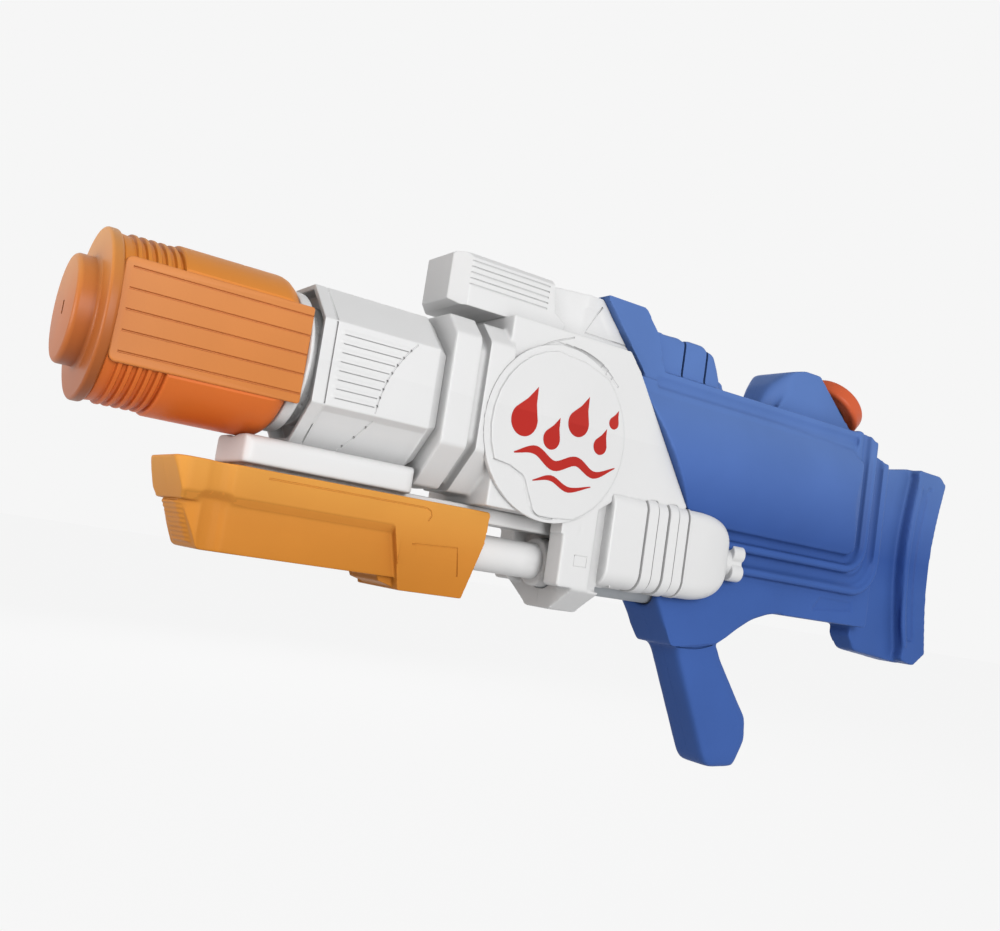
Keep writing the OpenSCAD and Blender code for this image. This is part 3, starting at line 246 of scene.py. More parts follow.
# %% Joining, carving and softening
def settle(piece):
    """Puts the result of a piece's modifiers into its mesh."""
    graph = bpy.context.evaluated_depsgraph_get()
    mesh = bpy.data.meshes.new_from_object(piece.evaluated_get(graph))
    old = piece.data
    piece.modifiers.clear()
    piece.data = mesh
    bpy.data.meshes.remove(old)
    return piece


def combine(piece, others, how):
    """Boolean of a piece with others, which are used up."""
    for other in others:
        mod = piece.modifiers.new("cut", "BOOLEAN")
        mod.operation = how
        mod.solver = "MANIFOLD"
        mod.object = other
        settle(piece)
        bpy.data.objects.remove(other)
    return piece


def carve(piece, *cutters):
    """Cuts forms out of a piece."""
    return combine(piece, cutters, "DIFFERENCE")


def add(piece, *forms):
    """Joins forms to a piece."""
    return combine(piece, forms, "UNION")


def keep(piece, *forms):
    """Keeps what lies inside the forms."""
    return combine(piece, forms, "INTERSECT")


def gathered(pieces):
    """One object from pieces that stand clear of each other, so that one cut does for all."""
    bm = bmesh.new()
    for piece in pieces:
        bm.from_mesh(piece.data)
        bpy.data.objects.remove(piece)
    bmesh.ops.scale(bm, vec=(1 / MM,) * 3, verts=bm.verts)
    return solid("gathered", bm)


def moulded_copy(name, *names):
    """One new mesh that holds copies of these solids, welded."""
    bm = bmesh.new()
    for n in names:
        bm.from_mesh(nodes[n].data)
    bmesh.ops.remove_doubles(bm, verts=bm.verts, dist=1e-6)
    bmesh.ops.scale(bm, vec=(1 / MM,) * 3, verts=bm.verts)
    return solid(name, bm)


def skin(piece, voxel):
    """Covers a piece with a fine even mesh."""
    mod = piece.modifiers.new("skin", "REMESH")
    mod.mode = "VOXEL"
    mod.voxel_size = voxel * MM
    return settle(piece)


def relax(piece, passes, where=None):
    """Evens a skin out, which rounds its edges; where gives a share from 0 to 1 at a point."""
    mod = piece.modifiers.new("ease", "SMOOTH")
    mod.factor = 0.5
    mod.iterations = passes
    if where:
        group = piece.vertex_groups.new(name="where")
        for v in piece.data.vertices:
            share = where(v.co / MM)
            if share > 0:
                group.add([v.index], share, "REPLACE")
        mod.vertex_group = "where"
    settle(piece)
    piece.vertex_groups.clear()
    return piece


def soften(piece, voxel, passes):
    """Skins a piece and relaxes it all over."""
    return relax(skin(piece, voxel), passes)


def shift(piece, move):
    """Moves each point of a mesh by a function of its place in millimetres."""
    for v in piece.data.vertices:
        v.co = move(v.co / MM) * MM
    return piece


def mirrored(piece, name):
    """Copy of a piece on the other side of the middle plane."""
    bm = bmesh.new()
    bm.from_mesh(piece.data)
    bmesh.ops.scale(bm, vec=(1 / MM, -1 / MM, 1 / MM), verts=bm.verts)
    return solid(name, bm)


def both(*pieces):
    """Pieces and their mirror images, as one object."""
    return gathered([m for piece in pieces for m in (mirrored(piece, "mirrored"), piece)])


def halves(piece, left, right, seam=0.05):
    """Splits a shell along the middle plane, where the two mouldings meet."""
    far = 900
    made = []
    for name, low, high in ((left, -far, -seam), (right, seam, far)):
        half = bpy.data.objects.new(name, piece.data.copy())
        scene.collection.objects.link(half)
        made.append(keep(half, block((-far, low, -far), (far, high, far))))
    bpy.data.objects.remove(piece)
    return made


def smooth(piece, sharp=32):
    """Smooth shading, with creases kept where faces meet at more than sharp degrees."""
    bm = bmesh.new()
    bm.from_mesh(piece.data)
    for face in bm.faces:
        face.smooth = True
    for e in bm.edges:
        e.smooth = len(e.link_faces) == 2 and e.calc_face_angle(0) < math.radians(sharp)
    bm.to_mesh(piece.data)
    bm.free()
    return piece


def dress(piece, finish, slot, body, *replaced, sharp=32):
    """Gives a piece its finish, and says what it rides on and which solids it stands for."""
    piece.data.materials.clear()
    piece.data.materials.append(finish)
    smooth(piece, sharp)
    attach(piece, body)
    if replaced:
        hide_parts(*replaced)
    print(piece.name, len(piece.data.polygons), "faces")
    return piece


def dress_halves(piece, name, node, finish, slot, body):
    """Splits a shell, and dresses both halves in place of the left and the right solid."""
    hands = ("_left", "_right")
    for half, hand in zip(halves(piece, *(name + h for h in hands)), hands):
        dress(half, finish, slot, body, node + hand)


# %% [markdown]
# ## Finishes
# Every shell is ABS from a mould whose steel was finely spark-textured, so it shows a satin gloss with a
# very fine grain and a slow, faint drift of tone; its convex edges carry a painted highlight, a little paler.
# The grain of such a mould is about 0.1 mm, which is too fine for this picture, so it is drawn ten times as
# coarse and very shallow. Hollows and grooves carry painted shade from ambient occlusion, so the tone goes
# down there a little.


# %% One function for colours, one for nodes
def linear(code):
    """Linear colour from an sRGB hex value."""
    rgb = [int(code[i:i + 2], 16) / 255 for i in (1, 3, 5)]
    return tuple(c / 12.92 if c <= 0.04045 else ((c + 0.055) / 1.055) ** 2.4 for c in rgb) + (1.0,)


def put(tree, kind, sockets=None, links=None, **settings):
    """Adds a shader node with its settings, socket values and links."""
    made = tree.nodes.new("ShaderNode" + kind)
    for key, value in settings.items():
        setattr(made, key, value)
    for key, value in (sockets or {}).items():
        made.inputs[key].default_value = value
    for key, source in (links or {}).items():
        tree.links.new(source, made.inputs[key])
    return made


# %% Moulded plastics
CLOUD_MM, SHADE_REACH_MM = 60, 14
GRAIN_RELIEF_MM, STREAK_RELIEF_MM = 0.1, 0.15
STREAK_STRETCH = 0.03


def moulded(name, steps, rough=0.4, ior=1.53, grain_mm=1.1, grain=0.05, drift=0.05, low=0.0, high=1.0,
            streak_mm=0.0, edge_highlight=0.12, metallic=0.0, shine=0.22, painted_shade=0.4):
    """Plastic whose tone runs through steps (place, hex) from height low to height high, in mm; on some
    finishes the steps paint light and shade.
    """
    finish = bpy.data.materials.new(name)
    finish.use_nodes = True
    tree = finish.node_tree
    shader = tree.nodes["Principled BSDF"]
    place = put(tree, "TexCoord").outputs["Object"]
    height = put(tree, "SeparateXYZ", links={"Vector": place}).outputs["Z"]
    level = put(tree, "MapRange", {"From Min": low * MM, "From Max": high * MM}, {"Value": height})
    tone = put(tree, "ValToRGB", links={"Fac": level.outputs["Result"]})
    ramp = tone.color_ramp
    while len(ramp.elements) < len(steps):
        ramp.elements.new(0.5)
    for mark, (at, code) in zip(ramp.elements, steps):
        mark.position = at
        mark.color = linear(code)
    cloud = put(tree, "TexNoise", {"Scale": 1 / (CLOUD_MM * MM), "Detail": 3.0}, {"Vector": place})
    shade = put(tree, "MapRange",
                {"From Min": 0.3, "From Max": 0.7, "To Min": 1 - drift, "To Max": 1 + drift},
                {"Value": cloud.outputs["Fac"]})
    # Painted highlight: convex edges, found by pointiness, are made a little paler.
    edge_highlight_tone = put(tree, "MapRange", {"From Min": 0.51, "From Max": 0.6, "To Min": 0.0, "To Max": edge_highlight},
                {"Value": put(tree, "NewGeometry").outputs["Pointiness"]})
    bright = put(tree, "Math", links={0: shade.outputs["Result"], 1: edge_highlight_tone.outputs["Result"]},
                 operation="ADD")
    # Painted shade: ambient occlusion takes the tone down in hollows and grooves, where shade falls.
    occlusion = put(tree, "AmbientOcclusion", {"Distance": SHADE_REACH_MM * MM}, samples=6)
    shade_factor = put(tree, "MapRange", {"From Min": 0.3, "From Max": 0.92, "To Min": 1 - painted_shade, "To Max": 1.0},
                {"Value": occlusion.outputs["AO"]})
    value = put(tree, "Math", links={0: bright.outputs[0], 1: shade_factor.outputs["Result"]},
                operation="MULTIPLY")
    pigment_with_painted_light = put(tree, "HueSaturation", {"Saturation": 1.0},
                  {"Value": value.outputs[0], "Color": tone.outputs["Color"]})
    tree.links.new(pigment_with_painted_light.outputs["Color"], shader.inputs["Base Color"])
    speck = put(tree, "TexNoise", {"Scale": 1 / (grain_mm * MM), "Detail": 2.0}, {"Vector": place})
    gloss = put(tree, "MapRange", {"To Min": rough - 0.05, "To Max": rough + 0.05},
                {"Value": cloud.outputs["Fac"]})
    tree.links.new(gloss.outputs["Result"], shader.inputs["Roughness"])
    bump = put(tree, "Bump", {"Strength": grain, "Distance": GRAIN_RELIEF_MM * MM},
               {"Height": speck.outputs["Fac"]})
    if streak_mm:
        drawn = put(tree, "Mapping", {"Scale": (STREAK_STRETCH, 1.0, 1.0)}, {"Vector": place})
        line = put(tree, "TexNoise", {"Scale": 1 / (streak_mm * MM), "Detail": 1.0},
                   {"Vector": drawn.outputs["Vector"]})
        bump = put(tree, "Bump", {"Strength": 0.3, "Distance": STREAK_RELIEF_MM * MM},
                   {"Height": line.outputs["Fac"], "Normal": bump.outputs["Normal"]})
    tree.links.new(bump.outputs["Normal"], shader.inputs["Normal"])
    shader.inputs["IOR"].default_value = ior
    shader.inputs["Metallic"].default_value = metallic
    shader.inputs["Specular IOR Level"].default_value = shine
    return finish


# Orange of the sleeve: satin, golden on top and a bright red-orange below; this run of tone by height is
# painted light and shade
orange = moulded("moulded_orange_ABS",
                 [(0.0, "#f2762e"), (0.35, "#dc7a3a"), (0.62, "#e28a42"), (1.0, "#e8922c")],
                 low=-43, high=43, shine=0.14, painted_shade=0.25)
# Orange of the nozzle: browner, darker below and paler on top, which is painted shade and light, and glossy
# enough for its front to take a pale sheen
nozzle_orange = moulded("moulded_nozzle_orange_ABS", [(0.0, "#a05424"), (0.5, "#bc6a30"), (1.0, "#e29c4e")],
                        low=-43, high=43, shine=0.26)
# Orange of the panels: paler and even, which sets them off from the sleeve
panel_orange = moulded("moulded_panel_orange_ABS", [(0.0, "#db8746"), (1.0, "#de8e50")], low=-25, high=25,
                       shine=0.14, painted_shade=0.25)
# Amber of the foregrip: yellower and nearly matt, with faint streaks along its length; it is paler on the
# rim and darker towards the bottom, which is painted light and shade
amber = moulded("moulded_amber_ABS", [(0.0, "#d08433"), (0.45, "#da8e3c"), (1.0, "#eaa44e")],
                low=-111, high=-60, streak_mm=1.6, shine=0.03)
# White: almost even, with painted shade in soft grey where the form is hollow
white = moulded("moulded_white_ABS", [(0.0, "#eeeeee"), (1.0, "#f0f0f0")],
                rough=0.45, drift=0.012, edge_highlight=0.03, painted_shade=0.34)
# Blue: nearly matt; paler on the deck and the crown of the bulge and deepest under the rims, which is
# painted light and shade by height
blue = moulded("moulded_blue_ABS", [(0.0, "#4769b2"), (0.48, "#4668b0"), (0.56, "#3f60a8"),
                                    (0.7, "#5879be"), (0.8, "#6283c4"), (1.0, "#6283c4")],
               rough=0.42, low=-200, high=90, shine=0.05, painted_shade=0.5)
# Red of the cap: an orange-red with the waxy gloss of polypropylene
red = moulded("moulded_red_polypropylene", [(0.0, "#dc5a30"), (1.0, "#e0663c")], rough=0.42, ior=1.49)
# Ink: even, and glossier than the plate under it
ink = moulded("printed_red_ink", [(0.0, "#be2a22"), (1.0, "#c43028")],
              rough=0.3, ior=1.5, drift=0.04, edge_highlight=0.0)
# Acetal, milky polyethylene and soft hose: matt, pale inner pieces, of which the open cap shows a little
grey = moulded("moulded_grey_acetal", [(0.0, "#b4b8bc"), (1.0, "#bcc0c4")], rough=0.5, ior=1.48)
milky = moulded("blown_milky_polyethylene", [(0.0, "#d9e2ea"), (1.0, "#e4ebf0")], rough=0.5, ior=1.51)
hose = moulded("extruded_soft_hose", [(0.0, "#c9ced2"), (1.0, "#d2d6da")], rough=0.5, ior=1.52)
# Rubber of the seals and balls: nearly black and dull
nitrile = moulded("pressed_nitrile_rubber", [(0.0, "#18181a"), (1.0, "#202022")], rough=0.7, ior=1.52)
# Zinc on steel: small bright heads on the right side, and the hinge pin
zinc = moulded("zinc_plated_steel", [(0.0, "#a0a2a6"), (1.0, "#b0b2b6")],
               rough=0.35, ior=1.5, metallic=1.0, shine=0.5)
finishes = (orange, nozzle_orange, panel_orange, amber, white, blue, red, ink, grey, milky, hose, nitrile,
            zinc)
print("finishes:", [m.name for m in finishes])

# %% Finish of every solid by its slot
slot_finish = {"orange_abs": orange, "amber_abs": amber, "white_abs": white, "blue_abs": blue, "red_pp": red,
               "clear_pe": milky, "grey_acetal": grey, "hose_pvc": hose, "seal_rubber": nitrile,
               "ball_rubber": nitrile, "steel": zinc}
for part in frame["record"]["subparts"]:
    mesh = nodes[part["node"]].data
    mesh.materials.clear()
    mesh.materials.append(slot_finish[part["material_slot"]])

# %% [markdown]
# ## Barrel
# The barrel is a turned form, so its shells are turned from a profile: the boss with the jet's slit, the
# flange, five ribs, a shoulder and a smooth stretch that rounds in at the rear. Flats on both sides take
# the panels.

# %% Nozzle cap
boss_r, boss_l = 27, 10.5
flange_r, flange_end = 42.9, 16.5
spigot_r, spigot_bore, spigot_end = 30.8, 28.3, 28.5
wall, boss_bore, bore_start = 3, 24.5, 13
tip_r, tip_bore, tip_end = 8.7, 6.2, 18
nozzle = turned("nozzle_boss", [
    (0, 0), (0, boss_r, 2.6), (boss_l, boss_r, 2), (boss_l, flange_r, 1.6), (flange_end, flange_r, 1.8),
    (flange_end, spigot_r), (spigot_end, spigot_r), (spigot_end, spigot_bore), (bore_start, spigot_bore),
    (boss_l, boss_bore), (wall, boss_bore), (wall, tip_r), (tip_end, tip_r), (tip_end, tip_bore),
    (wall, tip_bore), (wall, 0)])
slit_w, slit_h, slit_r = 1.5, 3.5, 1.2
slit = [(-slit_w, -slit_h, slit_r), (slit_w, -slit_h, slit_r), (slit_w, slit_h, slit_r),
        (-slit_w, slit_h, slit_r)]
carve(nozzle, prism("slit", slit, -1, 4, "X"))
dress(nozzle, nozzle_orange, "orange_abs", "body", "nozzle_cap")

# %% Sleeve halves
rib_start, rib_pitch, root, crest = sleeve_x + 5, 4.6, 40.5, 42.3
sleeve_bore, lip_r, shoulder_x, flat_at = 31, 41.4, 44.3, -34.6
profile = [(sleeve_x, sleeve_bore), (sleeve_x, lip_r, 0.8), (sleeve_x + 4, lip_r - 0.4)]
for i in range(5):
    x = rib_start + rib_pitch * i
    profile += [(x + 0.5, root, 0.5), (x + 1.2, crest, 0.6), (x + 2.9, crest, 0.6), (x + 3.6, root, 0.5)]
profile += [(shoulder_x, root, 0.5), (shoulder_x + 0.9, barrel_r, 1.3), (sleeve_end, barrel_r, 10),
            (sleeve_end, sleeve_bore)]
sleeve = turned("barrel_sleeve", profile, steps=192, closed=True)
carve(sleeve, both(block((10, -90, -60), (120, flat_at, 60))))
dress_halves(sleeve, "sleeve", "barrel_sleeve", orange, "orange_abs", "body")

# %% Side panels with five grooves
panel_low, panel_high = span("barrel_panel_left")
panel_z, front_r, rear_r = 25, 4, 1.5
panel = prism("panel_left", [(panel_low.x, panel_z, front_r), (panel_high.x, panel_z, rear_r),
                             (panel_high.x, -panel_z, rear_r), (panel_low.x, -panel_z, front_r)],
              panel_low.y, panel_high.y, edge=0.8)
groove_mouth, groove_root, groove_x, groove_end = -36.6, -35.1, 20.5, 120
panel_grooves = [prism("groove", [(groove_mouth, z - 0.8), (groove_root, z - 0.25), (groove_root, z + 0.25),
                                  (groove_mouth, z + 0.8)], groove_x, groove_end, "X")
                 for z in (-20, -10, 0, 10, 20)]
carve(panel, gathered(panel_grooves))
panel_right = mirrored(panel, "panel_right")
dress(panel, panel_orange, "orange_abs", "body", "barrel_panel_left")
dress(panel_right, panel_orange, "orange_abs", "body", "barrel_panel_right")

# %% Collar behind the sleeve
collar = skin(moulded_copy("collar", "barrel_collar"), 0.7)
mouth_x, mouth_end, mouth_in, mouth_out = shroud_x + 2, shroud_x + 6, 30, 32.6
mouth_ring = turned("mouth_ring", [(mouth_x, mouth_in), (mouth_x, mouth_out), (mouth_end, mouth_out),
                                   (mouth_end, mouth_in)], closed=True)
add(collar, mouth_ring)
soften(collar, 0.7, 4)
dress(collar, white, "white_abs", "body", "barrel_collar")

# %% [markdown]
# ## White shells
# These are boxes with many steps. Their solids are copied, skinned with a fine even mesh and relaxed, so
# each edge gets the small radius that lets a moulding leave its mould. Fine lines are carved after that, to
# stay crisp.

# %% Shroud halves, with a step under the side flat and the arc where the fine ribs end
flat_y, flat_z = 35.0, 22.0
bevel_top_y, bevel_top_z = -30.2, -25.0
bevel_foot_y, bevel_foot_z = -12.5, -43.3
arc_mid, arc_r = (shroud_x + 101, -25.0), 65.0
shroud = skin(moulded_copy("shroud", "shroud_left", "shroud_right"), 0.42)
step = [(-flat_y - 0.6, 0.2 - flat_z), (bevel_top_y, bevel_top_z), (bevel_foot_y, bevel_foot_z), (-36, -44)]
carve(shroud, both(prism("step", step, shroud_x + 7.6, shroud_end - 7, "X")))
soften(shroud, 0.42, 3)
rib_gap, rib_count = 4.8, 8


def arc_point(z):
    """Point of the arc at a height."""
    return arc_mid[0] - math.sqrt(arc_r ** 2 - (z - arc_mid[1]) ** 2), z


on_arc = [arc_point(rib_gap * (i - (rib_count - 1) / 2)) for i in range(rib_count)]
side_arc = [arc_point(z) for z in range(-21, 22, 2)]


def lower_bevel(p):
    """Depth of the bevel under the side flat."""
    slope = (bevel_foot_y - bevel_top_y) / (bevel_top_z - bevel_foot_z)
    return bevel_top_y + (bevel_top_z - p[1]) * slope


def upper_bevel(p):
    """Depth of the bevel over the side flat."""
    return p[1] - flat_z - flat_y


lip_x = shroud_x + 7.0
bevel_arc = curve([(155.5, -24.4), (150.5, -34), (144.5, -42.6)])
lip = [block((lip_x - 0.5, -36, -21.6), (lip_x + 0.5, -33.5, 21.6)),
       bead([(lip_x, -25.2), (lip_x, -42)], lambda p: lower_bevel(p) + 0.4, 0.8),
       bead([(lip_x, 22.4), (lip_x, 41)], lambda p: upper_bevel(p) + 0.4, 0.8)]
under_ribs = [block((shroud_x + 12, -36, z - 1.25), (x - 1.5, 0.7 - flat_y, z - 0.75)) for x, z in on_arc]
dots = [prism("dot", arc(p, 0.8, 0, 330, 30), -flat_y - 1, 1.6 - flat_y) for p in on_arc]
dots += [prism("dot", arc(p, 0.8, 0, 330, 30), lower_bevel(p) - 1, lower_bevel(p) + 1.8)
         for p in (bevel_arc[3], bevel_arc[8], bevel_arc[13])]
arc_lines = [bead(side_arc, -flat_y, 0.5), bead(bevel_arc, lower_bevel, 0.5)]
carve(shroud, *[both(line) for line in arc_lines], both(*dots), both(*lip), both(*under_ribs))
dress_halves(shroud, "shroud_half", "shroud", white, "white_abs", "body")


# %% Front shell halves, with the panel lines of the fairing and the mark on the cheek
def cheek(p):
    """One on the rounded block that guides the pump, else zero."""
    return 1.0 if p.x > 284 and p.z < -66 and abs(p.y) > 14 else 0.0


front = skin(moulded_copy("front", "front_shell_left", "front_shell_right"), 0.7)
cheek_fill = block((287, -34, -65), (300, -22, -56))
nook_fill = block((309, -31.5, -93), (332, -20, -36))
add(front, both(cheek_fill, nook_fill))
nook = [(312.5, -96), (331, -96), (331, -35.5), (324, -39), (312.5, -47)]
carve(front, both(prism("nook", nook, -40, lambda p: -33.2 + 0.46 * (p[0] - 312.5))))
soften(front, 0.7, 4)
relax(front, 16, cheek)
fairing_y, body_y, cheek_y = -22.0, -34.0, -34.0
lines = [bead([(302.5, 79), (292, 60), (328, 59.4)], fairing_y + 0.4, 0.8),
         bead(curve([(240, 29.5), (258, 43.5), (276, 51.5)]), body_y + 0.2, 0.6)]
mark = [(299, -76), (308.5, -76), (308.5, -82.5), (299, -82.5), (299, -76)]
lines.append(bead(mark, cheek_y, 0.35))
carve(front, *[both(line) for line in lines])
# Four beads, each wider and shorter than the last, give the crescent over the medallion its pointed ends
crescent = curve([(262, 45.8), (278, 44.4), (291, 41.8), (303, 37.2), (314, 29.6)])
for r, cut in ((0.9, 0), (1.4, 4), (1.9, 7), (2.4, 10)):
    carve(front, both(bead(crescent[cut:len(crescent) - cut], body_y - 0.3, r)))
dress_halves(front, "front_half", "front_shell", white, "white_abs", "body")

# %% Top block with five grooves a side
block_low, block_high = span("top_block")
top_block = soften(moulded_copy("top_block_moulding", "top_block"), 0.4, 3)
first_groove, groove_pitch, groove_half = block_high.z - 5, 3.4, 0.45
grooves = [block((block_low.x + 8, block_low.y - 1, z - groove_half),
                 (block_high.x - 15, block_low.y + 0.8, z + groove_half))
           for z in (first_groove - groove_pitch * i for i in range(5))]
carve(top_block, both(*grooves))
dress(top_block, white, "white_abs", "body", "top_block")

# %% Slide rail
rail = soften(moulded_copy("slide_rail_moulding", "slide_rail"), 0.6, 30)
dress(rail, white, "white_abs", "body", "slide_rail")

# %% Knobs of the pods, whose lobes stand on a narrower neck
neck_r, neck_l, core_share, clear_r = 10.5, 4.5, 0.41, 30
for node in ("pod_plug_left", "pod_plug_right"):
    knob_low, knob_high = span(node)
    mid = (knob_low + knob_high) / 2
    knob = skin(moulded_copy(node + "_moulding", node), 0.4)
    core_r = (knob_high.z - knob_low.z) * core_share
    core_x, core_end = knob_low.x, knob_high.x - 0.6
    core = [(core_x, 0), (core_x, core_r), (core_end, core_r), (core_end, 0)]
    clear_x, clear_end = knob_low.x - 1, knob_low.x + neck_l
    around = [(clear_x, neck_r), (clear_x, clear_r), (clear_end, clear_r), (clear_end, neck_r)]
    add(knob, turned("core", core, mid.z, mid.y))
    carve(knob, turned("around_neck", around, mid.z, mid.y, closed=True))
    dress(soften(knob, 0.4, 8), white, "white_abs", "body", node)

# %% [markdown]
# ## Pods
# Each pod is a rounded box with a domed end. It is skinned through sections along X: the bands are steps in
# the run of sections, with a groove at each step, and the dome draws in along a quarter of an ellipse.

# %% Pods
pod_z, pod_half_h, pod_in_y, pod_out_y = -63.0, 29.0, 20.0, 37.0
groove_d, overlap = 1.7, 1.3
dome_l, dome_in, dome_steps = 31, 13, 14
pod_end = plug_x - dome_l
ring_lines = (349, 358, 367, 375.5, 384.5)


def pod_loop(x, out, shrink=0.0):
    """Section of the left pod at x, standing out by out and drawn in by shrink."""
    y1 = pod_out_y + out - shrink * 0.45
    h = pod_half_h + out - shrink
    top = pod_z + h + overlap
    corners = [(-pod_in_y, top), (-y1, top, 9.5 + out), (-y1, pod_z - h, 11 + out), (-pod_in_y, pod_z - h)]
    return [(x, p[0], p[1]) for p in outline(corners, 8)]


stations = [(pod_x, -1.4), (pod_x + 0.4, -0.5), (pod_x + 1.4, 0)]
levels = (0.0, 0.9, 0.0, 0.9, 0.0, 0.5)
for i, x in enumerate(ring_lines):
    before, after = levels[i], levels[i + 1]
    floor_out = min(before, after) - groove_d
    stations += [(x - 0.7, before), (x - 0.55, floor_out), (x + 0.55, floor_out), (x + 0.7, after)]
stations += [(386.5, 0.5), (387.2, 0.0)]
loops = [pod_loop(x, out) for x, out in stations]
for i in range(dome_steps + 1):
    t = math.sin(math.radians(90 * i / dome_steps))
    shrink = dome_in * (1 - math.sqrt(max(0.0, 1 - t * t)))
    loops.append(pod_loop(pod_end + dome_l * t, 0.0, shrink))
pod = skinned("pod_left_moulding", loops)
pod_right = mirrored(pod, "pod_right_moulding")
for piece, node in ((pod, "pod_left"), (pod_right, "pod_right")):
    dress(piece, white, "white_abs", "body", node, sharp=24)

# %% [markdown]
# ## Medallions
# A disc with a raised plate on it, whose front edge runs in a wave. The plate leans, and carries a print in
# red ink: drops of several sizes that fall on a slant, over two wave lines. Pad printing lays about 0.02 mm
# of ink, which no picture shows, so the ink stands 0.15 mm proud here.

# %% Brush strokes of the print
plate_x, plate_front_y, plate_lean = 220, -39.7, 4.9 / 105


def plate_y(p):
    """Depth of the leaning plate's face at a point."""
    return plate_front_y + plate_lean * (p[0] - plate_x)


def stroke(points, widths):
    """Brush stroke along a smooth line whose half width runs through widths."""
    line = curve(points)
    count = len(line) - 1
    rims = ([], [])
    for i, p in enumerate(line):
        along = (line[min(i + 1, count)] - line[max(i - 1, 0)]).normalized()
        at = i / count * (len(widths) - 1)
        k = min(int(at), len(widths) - 2)
        w = widths[k] + (widths[k + 1] - widths[k]) * (at - k)
        rims[0].append(p + w * Vector((-along.y, along.x)))
        rims[1].append(p - w * Vector((-along.y, along.x)))
    return rims[0] + rims[1][::-1]


# %% Discs with their plates, and the line along the wave
rim_low, rim_high = span("medallion_left")
rim_mid = (rim_low + rim_high) / 2
wave = [(-43, -22.8), (-32, -24.8), (-21.4, -29.6), (-16.6, -38), (-11.4, -46.8), (-3, -49.9), (5, -49.6)]
wave = curve([(rim_mid.x + x, rim_mid.z + z) for x, z in wave])
for node in ("medallion_left", "medallion_right"):
    disc = soften(moulded_copy(node + "_moulding", node), 0.45, 3)
    carve(disc, both(bead(wave, lambda p: plate_y(p) + 1.0, 0.8)))
    dress(disc, white, "white_abs", "body", node)
print("medallion middle:", round(rim_mid.x, 1), round(rim_mid.z, 1))


# %% Printed drops and wave
def drop(at, size, lean):
    """Outline of a falling drop: a round belly drawn out to a tip, leaning by some degrees."""
    ring = [Vector(p) * size for p in arc((0, 0), 1, 154, 386, 8) + [(0.37, 1.3), (0, 2.3), (-0.37, 1.3)]]
    turn = Matrix.Rotation(math.radians(lean), 2)
    return [Vector(at) + turn @ p for p in ring]


ink_t, ink_root, slant = 0.15, 0.6, -18
shapes = [drop((246, -5), 9.5, slant), drop((267.5, -12), 6.2, slant), drop((286, 1), 8.0, slant),
          drop((305, -9), 5.2, slant), drop((313.5, 7), 3.8, slant),
          stroke([(242, -24.5), (257, -20.5), (272, -27), (288, -21.5), (303, -27), (319, -20)],
                 (0.4, 2.6, 3.0, 2.8, 2.2, 0.3)),
          stroke([(258, -38), (271, -34.5), (285, -39), (302, -34.5)], (0.3, 1.7, 1.7, 0.3))]
marks = [prism("ink", s, lambda p: plate_y(p) - ink_t, lambda p: plate_y(p) + ink_root) for s in shapes]
printed = gathered(marks)
printed.name = "print_left"
printed_right = mirrored(printed, "print_right")
dress(printed, ink, None, "body")
dress(printed_right, ink, None, "body")

# %% [markdown]
# ## Pump
# The tube slides in the gland, so the two are turned as true rounds that share the pump's axis.

# %% Tube and gland
tube_r, tube_bore, tube_wall = 11, 8.5, 4
tube = turned("pump_tube_white", [
    (tube_x, 0), (tube_x, tube_r, 1.5), (tube_end, tube_r), (tube_end, tube_bore),
    (tube_x + tube_wall, tube_bore), (tube_x + tube_wall, 0)], pump_z)
dress(tube, white, "white_abs", "pump", "pump_tube")
gland_x, gland_end = ends("pump_gland")
gland_bore, collar_r, collar_l, spigot = 11.06, 15, 8, 12.4
gland = turned("pump_gland_white", [
    (gland_x, gland_bore), (gland_x, collar_r, 1.8), (gland_x + collar_l, collar_r),
    (gland_x + collar_l, spigot), (gland_end, spigot), (gland_end, gland_bore)], pump_z, closed=True)
dress(gland, white, "white_abs", "body", "pump_gland")

# %% [markdown]
# ## Blue rear shell
# One big moulding in two halves. Two valleys and two beads run along its rims and turn upright behind the
# tank bulge, and a groove follows the foot of the deck. They go deeper than the wall, so the hollow behind
# them is filled first. Its lower sides draw in towards the grip. The shell is then skinned again and
# relaxed: lightly all over, and more at the grip, the butt, the humps and the edge of the deck, where the
# real edges are rounder.

# %% Beads, valleys and recesses on the copied solid
rear = skin(moulded_copy("rear", "rear_shell_left", "rear_shell_right"), 0.9)
hump_y = -20.0


def rim_line(points):
    """Run along a rim: level, round a corner and up, from three points of which the second has a radius."""
    a, b, c = (Vector(p[:2]) for p in points)
    return [a] + arc_corner(a, b, c, points[1][2], 12) + [c]


plug_room = prism("plug_room", [(428, -80), (453, -80), (453, -47), (428, -47)], -23.5, -2)
plug_rim = prism("plug_rim", [(424, -53.4), (455, -53.4), (455, -43), (424, -43)], -28.8, -2)
hump_front = prism("hump_front", [(467, 46), (489, 81), (489, 46)], hump_y, -hump_y)
rim_room = block((553, -27, -44), (592, -14, 28))
add(rear, both(plug_room), both(plug_rim), hump_front, both(rim_room))


def deeper(level, depth):
    """Depth of a valley that starts at level and sinks by depth where it turns upright."""
    return lambda p: level + depth * min(1.0, max(0.0, (p[1] + 50) / 18))


